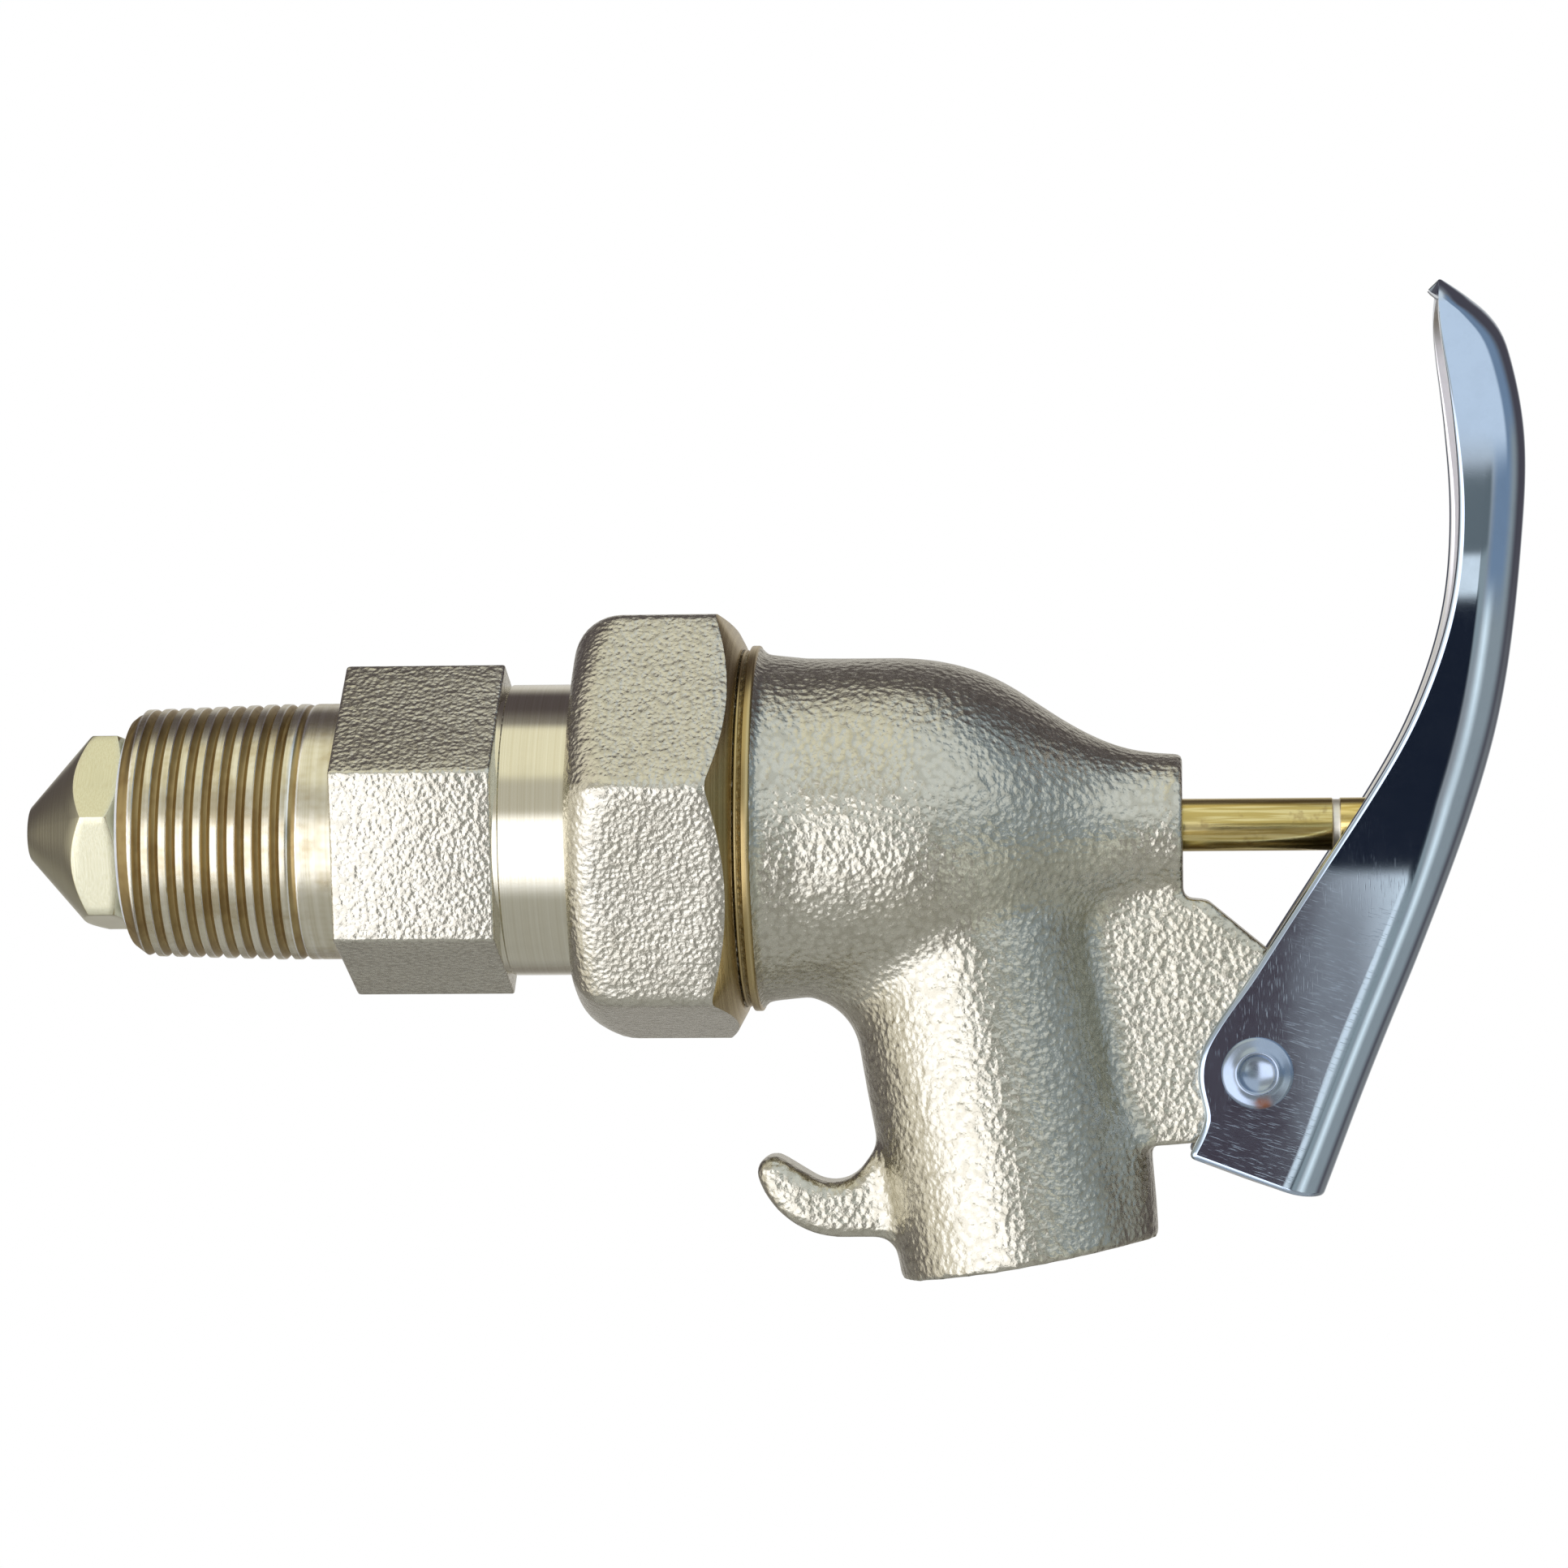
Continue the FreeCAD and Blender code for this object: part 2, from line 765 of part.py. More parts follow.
def channel_section(x, z, half, corner, depth):
    """Closed section at one height: straight sides and a web with round corners."""
    left = x - depth
    bend = corner * (1 - math.sqrt(0.5))
    edges = [
        line(at(left, z, -half), at(x - corner, z, -half)),
        arc(at(x - corner, z, -half), at(x - bend, z, -half + bend), at(x, z, -half + corner)),
        line(at(x, z, -half + corner), at(x, z, half - corner)),
        arc(at(x, z, half - corner), at(x - bend, z, half - bend), at(x - corner, z, half)),
        line(at(x - corner, z, half), at(left, z, half)),
        line(at(left, z, half), at(left, z, -half)),
    ]
    return Part.Wire(edges)


def channel_loft(inset):
    """Solid bounded by the lever's skin, moved inwards by the inset."""
    web = web_curve()
    length = web.length()
    sections = []
    for share in [k / 20 for k in range(19)] + [0.94, 0.97, 1]:
        place = web.parameterAtDistance(length * share)
        skin = web.value(place)
        along = web.tangent(place)[0]
        half = lever_half_width(skin.z)
        corner = min(web_corner_radius, 0.6 * half)
        inner = skin - at(along.z, -along.x) * inset
        sections.append(channel_section(inner.x, inner.z, half - inset, corner - inset, channel_depth + inset))
    return Part.makeLoft(sections, True, False, False, 5)


def lever_window():
    """Side view of the lever: slanted foot, free edges of the walls and the open space behind the web."""
    foot = from_pivot(-lever_foot_reach, -lever_foot_drop)
    foot_lean = math.radians(lever_foot_slant)
    foot_far = foot + at(math.cos(foot_lean), -math.sin(foot_lean)) * channel_depth
    heel = from_pivot(-lever_heel_reach, lever_heel_height)
    slant_low = from_pivot(-wall_slant_reach, wall_slant_height)
    waist = (heel + slant_low) * 0.5 + at(-wall_waist_swell, -wall_waist_swell)
    slant_high = from_pivot(wall_straight_reach, wall_straight_height)
    edge_points = []
    for (share, past_tip), depth in zip(thumb_bow, thumb_wall_depths):
        edge_points.append(bow_point(share, past_tip - depth))
    tip = from_pivot(thumb_tip_reach, thumb_tip_height)
    wall_top = tip - at(lever_sheet * 0.75, thumb_edge_step)
    above_tip = tip + at(0, 1)
    corner = above_tip + at(channel_depth, 0)
    edges = [
        line(foot, heel),
        curve([heel, waist, slant_low]),
        line(slant_low, slant_high),
        curve([slant_high] + edge_points + [wall_top]),
        line(wall_top, above_tip),
        line(above_tip, corner),
        line(corner, foot_far),
        line(foot_far, foot),
    ]
    return plate(edges, 4 * thumb_half_width)


def lever():
    skin = channel_loft(0.0).cut(channel_loft(lever_sheet))
    sheet = skin.common(lever_window())
    hole = cross_rod(rivet_shank_radius + rivet_wall_gap, -thumb_half_width, thumb_half_width)
    return sheet.cut(hole).removeSplitter()


def cross_rod(radius, low_y, high_y):
    """Round bar across the pivot."""
    return Part.makeCylinder(radius, high_y - low_y, at(pivot_x, pivot_z, low_y), FreeCAD.Vector(0, 1, 0))


def lever_rivet():
    """Hollow rivet: a domed head on the far side and a rolled rim round a cup on the near side."""
    far = lever_outer_half + rivet_wall_gap
    near = -far
    pivot = at(pivot_x, pivot_z)
    head = rivet_head_radius
    rise = rivet_head_height
    cup = rivet_cup_radius

    def spot(radius, y):
        return at(pivot_x + radius, pivot_z, y)

    cup_floor = near + rivet_cup_depth - rise
    lip = near - rise * 0.25
    edges = [
        line(spot(0, cup_floor), spot(0, far + rise)),
        bezier([spot(0, far + rise), spot(head * 0.55, far + rise), spot(head, far + rise * 0.6), spot(head, far)]),
        line(spot(head, far), spot(rivet_shank_radius, far)),
        line(spot(rivet_shank_radius, far), spot(rivet_shank_radius, near)),
        line(spot(rivet_shank_radius, near), spot(head, near)),
        arc(spot(head, near), spot((head + cup) / 2, near - rise), spot(cup, lip)),
        bezier([spot(cup, lip), spot(cup * 0.95, cup_floor), spot(cup * 0.5, cup_floor), spot(0, cup_floor)]),
    ]
    return Part.Face(Part.Wire(edges)).revolve(pivot, FreeCAD.Vector(0, 1, 0), 360)


def inner_screen():
    return arrester_screen(neck_start)


def outer_screen():
    return arrester_screen(neck_start + screen_thickness + spacer_thickness)


def inner_packing_ring():
    return packing_ring(packing_start)


def outer_packing_ring():
    return packing_ring(packing_start + packing_ring_thickness)


PIECES = {
    "inlet_nipple": inlet_nipple,
    "union_nut": union_nut,
    "union_gasket": union_gasket,
    "body_casting": body_casting,
    "arrester_screen_inner": inner_screen,
    "screen_spacer": screen_spacer,
    "arrester_screen_outer": outer_screen,
    "guide_spider": guide_spider,
    "packing_ring_inner": inner_packing_ring,
    "packing_ring_outer": outer_packing_ring,
    "packing_follower": packing_follower,
    "gland_nut": gland_nut,
    "valve_stem": valve_stem,
    "poppet_nose": poppet_nose,
    "poppet_seal": poppet_seal,
    "seal_washer": seal_washer,
    "closing_spring": closing_spring,
    "spring_seat": spring_seat,
    "retaining_clip": retaining_clip,
    "lever": lever,
    "lever_rivet": lever_rivet,
}

os.makedirs("parts", exist_ok=True)
for name, make in PIECES.items():
    shape = make()
    shape.exportStep("parts/" + name + ".step")
    print(name, round(shape.Volume, 1), "cubic mm")
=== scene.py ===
import math

import bmesh
import bpy
import numpy as np
from mathutils import Matrix, Vector, noise


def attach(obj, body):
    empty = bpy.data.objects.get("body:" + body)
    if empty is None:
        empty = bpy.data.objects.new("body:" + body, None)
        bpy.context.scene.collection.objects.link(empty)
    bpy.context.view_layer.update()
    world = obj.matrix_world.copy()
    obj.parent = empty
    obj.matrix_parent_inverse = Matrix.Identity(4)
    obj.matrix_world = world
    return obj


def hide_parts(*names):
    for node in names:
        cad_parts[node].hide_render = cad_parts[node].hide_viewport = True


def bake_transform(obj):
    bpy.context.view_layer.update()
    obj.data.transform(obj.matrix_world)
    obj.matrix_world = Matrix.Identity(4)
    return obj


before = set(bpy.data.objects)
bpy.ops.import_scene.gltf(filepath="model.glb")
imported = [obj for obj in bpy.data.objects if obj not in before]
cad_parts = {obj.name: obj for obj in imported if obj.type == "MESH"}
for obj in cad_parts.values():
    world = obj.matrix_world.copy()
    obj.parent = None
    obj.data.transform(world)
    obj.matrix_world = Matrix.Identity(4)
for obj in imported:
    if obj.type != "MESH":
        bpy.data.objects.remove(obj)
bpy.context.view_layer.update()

scene = bpy.context.scene

# Millimetres of the drum faucet, the same as those of its solids. +X runs from the drum to the lever.
MM = 0.001
inlet_face = -8.61
hex_start = 14.2
hex_end = 31.0
flange_start = 42.3
flange_end = 45.9
neck_start = 47.0
neck_end = 56.9
collar_end = 57.9
spider_end = 53.0
spring_end = 75.0
boss_end = 101.7
witness_mark = 117.4
pivot_x = 109.2
pivot_z = -25.6

pipe_radius = 13.285
pipe_taper = 1.0 / 32.0
shank_radius = 13.5
nipple_bore = 7.5
barrel_radius = 15.3
flange_radius = 17.6
thread_pitch = 1.814
thread_depth = 0.7

nut_start = 38.1
nut_end = 56.0
nut_flats = 41.2
nut_turn = 11.2
hex_flats = 30.6
hex_turn = 20.6
poppet_flats = 19.05
poppet_turn = 9.4
seal_back = inlet_face - 1.7
seal_hole = 2.23
stem_radius = 2.75
chamfer_slope = math.tan(math.radians(30))

lever_half = 6.3
thumb_half = 9.8
lever_sheet = 1.5
web_lean = math.radians(21.7)
web_offset = 11.1
web_corner = 4.2
thumb_tip_reach = 19.7
thumb_tip_height = 81.9
thumb_tip_start = 68.0
# The sections slant with the sheared foot at the first of these heights, and lie level from the second up.
foot_low = -13.2
foot_high = 12.0


# Node trees. A Term is one value in a tree, and Python's operators on it add the Math nodes.

class Term:
    def __init__(self, tree, socket):
        self.tree = tree
        self.socket = socket

    def maths(self, operation, *values):
        sockets = dict(enumerate(values))
        return self.tree.node("ShaderNodeMath", {"operation": operation}, sockets)

    def __add__(self, other):
        return self.maths("ADD", self, other)

    def __radd__(self, other):
        return self.maths("ADD", other, self)

    def __sub__(self, other):
        return self.maths("SUBTRACT", self, other)

    def __rsub__(self, other):
        return self.maths("SUBTRACT", other, self)

    def __mul__(self, other):
        return self.maths("MULTIPLY", self, other)

    def __rmul__(self, other):
        return self.maths("MULTIPLY", other, self)

    def __truediv__(self, other):
        return self.maths("DIVIDE", self, other)

    def root(self):
        return self.maths("SQRT", self)

    def sine(self):
        return self.maths("SINE", self)

    def cosine(self):
        return self.maths("COSINE", self)

    def size(self):
        return self.maths("ABSOLUTE", self)

    def lower(self, other):
        return self.maths("MINIMUM", self, other)

    def higher(self, other):
        return self.maths("MAXIMUM", self, other)

    def turn_to(self, other):
        return self.maths("ARCTAN2", self, other)

    def share(self, low, high):
        """0 below low and 1 above high, eased between them; low may be the larger of the two."""
        settings = {"interpolation_type": "SMOOTHSTEP"}
        sockets = {"Value": self, "From Min": low, "From Max": high}
        return self.tree.node("ShaderNodeMapRange", settings, sockets)

    def parts(self):
        """The x, y and z of a vector."""
        return [self.tree.node("ShaderNodeSeparateXYZ", {}, {0: self}, k) for k in range(3)]


class Tree:
    def __init__(self, tree):
        self.tree = tree

    def node(self, kind, settings=None, sockets=None, output=0):
        """Adds a node, its settings before its sockets' values or links, and gives one of its outputs."""
        made = self.tree.nodes.new(kind)
        for name, value in (settings or {}).items():
            setattr(made, name, value)
        for name, value in (sockets or {}).items():
            if isinstance(value, Term):
                self.tree.links.new(value.socket, made.inputs[name])
            else:
                made.inputs[name].default_value = value
        return Term(self, made.outputs[output]) if made.outputs else None

    def vector(self, x, y, z):
        return self.node("ShaderNodeCombineXYZ", {}, {"X": x, "Y": y, "Z": z})

    def mix(self, share, one, other):
        """A colour between two, each a link or a plain red, green and blue."""
        colours = [c if isinstance(c, Term) else (*c, 1.0) for c in (one, other)]
        sockets = {0: share, 6: colours[0], 7: colours[1]}
        return self.node("ShaderNodeMix", {"data_type": "RGBA"}, sockets, 2)

    def noise(self, place, scale, detail=2.0, roughness=0.5):
        sockets = {"Vector": place, "Scale": scale, "Detail": detail, "Roughness": roughness}
        return self.node("ShaderNodeTexNoise", {}, sockets, "Fac")

    def bump(self, height, distance):
        sockets = {"Strength": 1.0, "Distance": distance, "Height": height}
        return self.node("ShaderNodeBump", {}, sockets)


def new_finish(name):
    material = bpy.data.materials.new(name)
    material.use_nodes = True
    material.node_tree.nodes.clear()
    return material, Tree(material.node_tree)


def close_finish(tree, sockets):
    shader = tree.node("ShaderNodeBsdfPrincipled", {}, sockets)
    tree.node("ShaderNodeOutputMaterial", {}, {"Surface": shader})


# Finishes

def cast_brass(name, light, dark, grain_size, depth, rough):
    """Shot-blasted sand casting: orange-peel grain over a slightly uneven skin."""
    material, tree = new_finish(name)
    place = tree.node("ShaderNodeTexCoord", output="Object")
    grain = tree.noise(place, 900.0 / grain_size, 2.0, 0.55)
    dimples = tree.node("ShaderNodeTexVoronoi", {"feature": "SMOOTH_F1"},
                        {"Vector": place, "Scale": 1150.0 / grain_size, "Smoothness": 0.45}, "Distance")
    flecks = tree.noise(place, 3800.0 / grain_size, 1.0)
    uneven = tree.noise(place, 120.0, 1.0)
    stain = tree.noise(place, 55.0, 3.0, 0.6)
    height = grain * 1.1 + dimples * 0.8 + flecks * 0.12 + uneven * 2.4
    pits = dimples.share(0.42, 0.75)
    colour = tree.mix(pits * 0.5, light, dark)
    stained = [c * kept for c, kept in zip(light, (0.82, 0.78, 0.66))]
    colour = tree.mix(stain.share(0.48, 0.8) * 0.2, colour, stained)
    close_finish(tree, {
        "Base Color": colour,
        "Metallic": 1.0,
        "Roughness": rough + flecks * 0.16,
        "Normal": tree.bump(height, depth),
    })
    return material


def turned_brass(name, light, dark, line_size, depth, rough, tarnish=0.25):
    """Machined brass with fine rings left by the lathe about the inlet axis."""
    material, tree = new_finish(name)
    place = tree.node("ShaderNodeTexCoord", output="Object")
    x, y, z = place.parts()
    radius = (y * y + z * z).root()
    rings = tree.vector(x, radius, 0.0)
    fine = tree.noise(rings, 1000.0 / line_size, 2.0, 0.7)
    broad = tree.noise(rings, 260.0 / line_size, 1.0)
    patches = tree.noise(place, 140.0, 3.0, 0.65)
    colour = tree.mix(fine.share(0.35, 0.65), dark, light)
    colour = tree.mix(broad.share(0.55, 0.72) * 0.3, colour, dark)
    colour = tree.mix(patches.share(0.52, 0.8) * tarnish, colour, [c * 0.5 for c in dark])
    close_finish(tree, {
        "Base Color": colour,
        "Metallic": 1.0,
        "Roughness": rough + patches * 0.08 + fine * 0.06,
        "Normal": tree.bump(fine * 0.6 + broad * 0.9, depth),
    })
    return material


def threaded_brass():
    """Cut pipe thread: bright crests, brown grime in random patches, painted shade in the flanks and
    roots, and a thin painted highlight line along the flanks.
    """
    material, tree = new_finish("threaded_brass")
    place = tree.node("ShaderNodeTexCoord", output="Object")
    x, y, z = place.parts()
    radius = (y * y + z * z).root()
    cone = (pipe_radius * MM + x * pipe_taper).lower(shank_radius * MM)
    sunk = (cone - radius) / (thread_depth * MM)
    rings = tree.vector(x, radius, 0.0)
    fine = tree.noise(rings, 1500.0, 2.0, 0.7)
    patches = tree.noise(place, 210.0, 3.0, 0.7)
    streaks = tree.noise(tree.vector(x * 0.25, y, z), 420.0, 2.0, 0.6)
    colour = tree.mix(fine.share(0.35, 0.65), (0.70, 0.64, 0.47), (0.82, 0.77, 0.62))
    brown = patches.share(0.42, 0.7)
    colour = tree.mix(brown * 0.6, colour, (0.46, 0.36, 0.18))
    # Painted shade: the flanks and roots are coloured dark brown where they sink below the crests, and
    # darker still where the grime patches lie.
    painted_flank_shade = sunk.share(0.02, 0.12)
    colour = tree.mix(painted_flank_shade, colour, (0.44, 0.33, 0.15))
    colour = tree.mix(painted_flank_shade * brown * 0.7, colour, (0.30, 0.20, 0.08))
    # Painted highlight: a thin near-white line along the flank, broken up by streaks.
    edge = sunk.share(0.0, 0.06) * sunk.share(0.2, 0.1) * streaks.share(0.2, 0.45)
    colour = tree.mix(edge, colour, (0.96, 0.94, 0.86))
    close_finish(tree, {
        "Base Color": colour,
        "Metallic": 1.0,
        "Roughness": 0.2 + sunk.share(0.0, 0.7) * 0.2 + patches * 0.12,
        "Normal": tree.bump(fine + patches * 1.5, 0.00002),
    })
    return material


def stem_brass():
    """Drawn and polished rod with faint marks along and round it."""
    material, tree = new_finish("stem_brass")
    place = tree.node("ShaderNodeTexCoord", output="Object")
    x, y, z = place.parts()
    drawn = tree.noise(tree.vector(x * 0.05, y, z), 2600.0, 2.0)
    spots = tree.noise(place, 420.0, 3.0, 0.7)
    marks = tree.noise(tree.vector(x, y * 0.1, z * 0.1), 900.0, 1.0)
    colour = tree.mix(drawn.share(0.4, 0.62), (0.60, 0.45, 0.14), (0.83, 0.68, 0.30))
    colour = tree.mix(spots.share(0.58, 0.75) * 0.5, colour, (0.34, 0.22, 0.08))
    # Painted highlight: a near-white band over the witness groove, which is also made rougher.
    ring = (x - (witness_mark + 0.25) * MM).size().share(0.0005, 0.0003)
    colour = tree.mix(ring * 0.8, colour, (0.95, 0.93, 0.86))
    close_finish(tree, {
        "Base Color": colour,
        "Metallic": 1.0,
        "Roughness": 0.13 + spots * 0.12 + ring * 0.3,
        "Normal": tree.bump(drawn + marks * 0.6, 0.000006),
    })
    return material


def chrome(name, light, rough_low, rust_at=None):
    """Plated pressed steel: a clear mirror over faint press waves, with fine scratches from use."""
    material, tree = new_finish(name)
    place = tree.node("ShaderNodeTexCoord", output="Object")
    x, y, z = place.parts()
    waves = tree.noise(tree.vector(x, y, z * 0.6), 70.0, 1.0)
    haze = tree.noise(place, 330.0, 4.0, 0.7)
    along = tree.noise(tree.vector(x * 0.06, y, z + x * 0.3), 11000.0, 1.0)
    across = tree.noise(tree.vector(x, y, z * 0.07), 10000.0, 1.0)
    where = tree.noise(place, 75.0, 2.0)
    low = z.share(0.006, -0.006)
    scratches = along.share(0.6, 0.75) * where.share(0.42, 0.62) * (0.2 + low * 0.8)
    scratches = scratches.higher(across.share(0.6, 0.78) * (0.1 + low * 0.6) * where.share(0.6, 0.42))
    colour = tree.mix(haze.share(0.4, 0.7) * 0.4, light, [c * 0.9 for c in light])
    rough = rough_low + haze * 0.05 + scratches * 0.09
    if rust_at:
        away = tree.vector(x - rust_at[0], y * 0.2, z - rust_at[1])
        gap = tree.node("ShaderNodeVectorMath", {"operation": "LENGTH"}, {0: away}, "Value")
        rust = (gap + haze * 0.0016).share(0.0026, 0.0017)
        colour = tree.mix(rust * 0.9, colour, (0.34, 0.12, 0.04))
        rough = rough + rust * 0.4
    close_finish(tree, {
        "Base Color": colour,
        "Metallic": 1.0,
        "Roughness": rough,
        "Normal": tree.bump(waves * 3.0 - scratches * 0.06, 0.00001),
    })
    return material


def stainless():
    """Rolled and blanked stainless sheet or wire."""
    material, tree = new_finish("stainless")
    place = tree.node("ShaderNodeTexCoord", output="Object")
    x, y, z = place.parts()
    rolled = tree.noise(tree.vector(x, y * 0.08, z), 2100.0, 2.0)
    patches = tree.noise(place, 300.0, 3.0)
    colour = tree.mix(rolled.share(0.35, 0.65), (0.42, 0.42, 0.41), (0.60, 0.60, 0.59))
    close_finish(tree, {
        "Base Color": colour,
        "Metallic": 1.0,
        "Roughness": 0.22 + patches * 0.16,
        "Normal": tree.bump(rolled + patches * 0.5, 0.00001),
    })
    return material


def ptfe():
    """Skived white fluoroplastic with faint cutting rings and a waxy sheen."""
    material, tree = new_finish("ptfe")
    place = tree.node("ShaderNodeTexCoord", output="Object")
    x, y, z = place.parts()
    rings = tree.noise(tree.vector(x, (y * y + z * z).root(), 0.0), 1300.0, 2.0)
    clouds = tree.noise(place, 320.0, 3.0)
    colour = tree.mix(clouds.share(0.3, 0.7), (0.70, 0.75, 0.82), (0.84, 0.87, 0.90))
    close_finish(tree, {
        "Base Color": colour,
        "Metallic": 0.0,
        "Roughness": 0.38 + rings * 0.15,
        "Normal": tree.bump(rings + clouds, 0.000015),
    })
    return material


# Mesh making

def piece_of(name, mesh, material, sharp=35.0):
    mesh.materials.clear()
    mesh.materials.append(material)
    mesh.shade_smooth()
    mesh.set_sharp_from_angle(angle=math.radians(sharp))
    piece = bpy.data.objects.new(name, mesh)
    scene.collection.objects.link(piece)
    return piece


WELD = 0.003 * MM


def closed_mesh(name, points, faces):
    """Mesh from millimetre points: doubled points merged, faces turned outwards."""
    mesh = bpy.data.meshes.new(name)
    mesh.from_pydata([Vector(p) * MM for p in points], [], faces)
    tidy_mesh(mesh)
    return mesh


def tidy_mesh(mesh):
    shape = bmesh.new()
    shape.from_mesh(mesh)
    bmesh.ops.remove_doubles(shape, verts=shape.verts, dist=WELD)
    bmesh.ops.dissolve_degenerate(shape, edges=shape.edges, dist=0.5 * WELD)
    bmesh.ops.recalc_face_normals(shape, faces=shape.faces)
    shape.to_mesh(mesh)
    shape.free()


def sheet_faces(rows, columns, close_rows=False, close_columns=False):
    """Quads between rows of points; a closed direction runs back to its start."""
    faces = []
    for r in range(rows if close_rows else rows - 1):
        here = r * columns
        below = (r + 1) % rows * columns
        for c in range(columns if close_columns else columns - 1):
            beside = (c + 1) % columns
            faces.append((here + c, here + beside, below + beside, below + c))
    return faces


def between(low, high, steps):
    return [low + (high - low) * k / steps for k in range(steps + 1)]


def corner_curve(before, corner, after, steps):
    """Points of a small round from before to after, pulled towards the corner."""
    start, pull, end = Vector(before), Vector(corner), Vector(after)
    curve = []
    for k in range(steps + 1):
        t = k / steps
        curve.append(tuple(start * (1 - t) ** 2 + pull * 2 * t * (1 - t) + end * t ** 2))
    return curve


def eased(corners, steps=3):
    """Outline of (along, out, radius) corners, each rounded by its radius."""
    outline = []
    count = len(corners)
    for k in range(count):
        before, here, after = (Vector(corners[(k + d) % count][:2]) for d in (-1, 0, 1))
        radius = corners[k][2] if len(corners[k]) > 2 else 0.0
        back = before - here
        on = after - here
        if radius <= 0 or back.length < 1e-6 or on.length < 1e-6:
            outline.append(tuple(here))
            continue
        half_angle = back.angle(on) / 2
        trim = min(radius / math.tan(max(half_angle, 0.05)), 0.45 * back.length, 0.45 * on.length)
        start = here + back.normalized() * trim
        end = here + on.normalized() * trim
        outline += corner_curve(start, here, end, steps)
    return outline


def about_axis(x, radius, angle):
    """Point beside the inlet axis, at an angle from the camera's side upwards."""
    return x, -radius * math.cos(angle), radius * math.sin(angle)


def turned_points(outline, steps):
    """Points of an (x, radius) outline that is turned about the inlet axis."""
    angles = [2 * math.pi * k / steps for k in range(steps)]
    return [about_axis(x, radius, angle) for x, radius in outline for angle in angles]


def lathed(name, outline, material, steps=128, sharp=35.0):
    """Ring turned about the inlet axis from a closed (x, radius) outline."""
    points = turned_points(outline, steps)
    faces = sheet_faces(len(outline), steps, True, True)
    return piece_of(name, closed_mesh(name, points, faces), material, sharp)


def hex_columns(flats, turn, corner_ease, flat_steps=10, corner_steps=6):
    """Angle and reach of each column round a hexagonal bar with eased corners."""
    across = flats / 2
    tangent = math.atan2((across - corner_ease) * math.tan(math.pi / 6), across)
    centre = (across - corner_ease) / math.cos(math.pi / 6)
    columns = []
    for side in range(6):
        middle = math.radians(turn + 30 + 60 * side)
        for k in range(flat_steps):
            angle = -tangent + 2 * tangent * k / flat_steps
            columns.append((middle + angle, across / math.cos(angle)))
        for k in range(corner_steps):
            angle = tangent + 2 * (math.pi / 6 - tangent) * k / corner_steps
            off = angle - math.pi / 6
            past = math.sqrt(corner_ease ** 2 - (centre * math.sin(off)) ** 2)
            columns.append((middle + angle, centre * math.cos(off) + past))
    return columns


def chamfered_end(outline, reach, end, chamfer_low, crisp, steps):
    """Runs an outline on to the hexagon's end and says whether the 30 degree chamfer cuts it there."""
    fall = max(reach - chamfer_low, 0.0)
    front = end - fall * chamfer_slope
    cuts = fall > 2 * crisp
    outline += [(x, reach) for x in between(outline[-1][0], front - crisp, steps)][1:]
    below = (front + crisp * 0.5, reach - crisp * 0.87) if cuts else (end, reach - crisp)
    outline += corner_curve(outline[-1], (front, reach), below, 2)[1:]
    return cuts


def hex_piece(name, columns, path, material, sharp=35.0):
    """Hexagonal piece whose side view at each column is the path for that column's reach."""
    paths = [path(reach) for angle, reach in columns]
    points = []
    for row in range(len(paths[0])):
        for (angle, reach), outline in zip(columns, paths):
            points.append(about_axis(*outline[row], angle))
    faces = sheet_faces(len(paths[0]), len(columns), True, True)
    return piece_of(name, closed_mesh(name, points, faces), material, sharp)


# Geometry Nodes

def finished_mesh(holder):
    """Plain mesh of an object with its modifiers applied. The object itself is removed."""
    bpy.context.view_layer.update()
    shown = holder.evaluated_get(bpy.context.evaluated_depsgraph_get())
    mesh = bpy.data.meshes.new_from_object(shown)
    bpy.data.objects.remove(holder)
    return mesh


def rule_tree(name, sizes, material, rule):
    """Node tree with named sizes, which realizes what the rule makes and sets its material."""
    group = bpy.data.node_groups.new(name, "GeometryNodeTree")
    group.interface.new_socket(name="Geometry", in_out="OUTPUT", socket_type="NodeSocketGeometry")
    for size in sizes:
        group.interface.new_socket(name=size, in_out="INPUT", socket_type="NodeSocketFloat")
    tree = Tree(group)
    given = group.nodes.new("NodeGroupInput")
    values = {size: Term(tree, given.outputs[size]) for size in sizes}
    geometry = rule(tree, values)
    geometry = tree.node("GeometryNodeRealizeInstances", {}, {"Geometry": geometry})
    geometry = tree.node("GeometryNodeSetMaterial", {}, {"Geometry": geometry, "Material": material})
    tree.node("NodeGroupOutput", {}, {"Geometry": geometry})
    return group


def grown_mesh(name, sizes, material, rule):
    """Plain mesh that a rule grows from its named sizes."""
    group = rule_tree(name, sizes, material, rule)
    holder = bpy.data.objects.new(name, bpy.data.meshes.new(name))
    scene.collection.objects.link(holder)
    modifier = holder.modifiers.new(name, "NODES")
    modifier.node_group = group
    for item in group.interface.items_tree:
        if item.in_out == "INPUT":
            modifier[item.identifier] = float(sizes[item.name])
    return finished_mesh(holder)


# Points round the thread and across one pitch, then the groove's place across the pitch, how steeply
# its flanks fall, the pitches over which it runs out, and the slope of the chamfer at the mouth
THREAD_STEPS = 96
THREAD_ROWS = 8
groove_place = 0.7
groove_slope = 3.3
run_out = 1.6
mouth_slope = 0.75


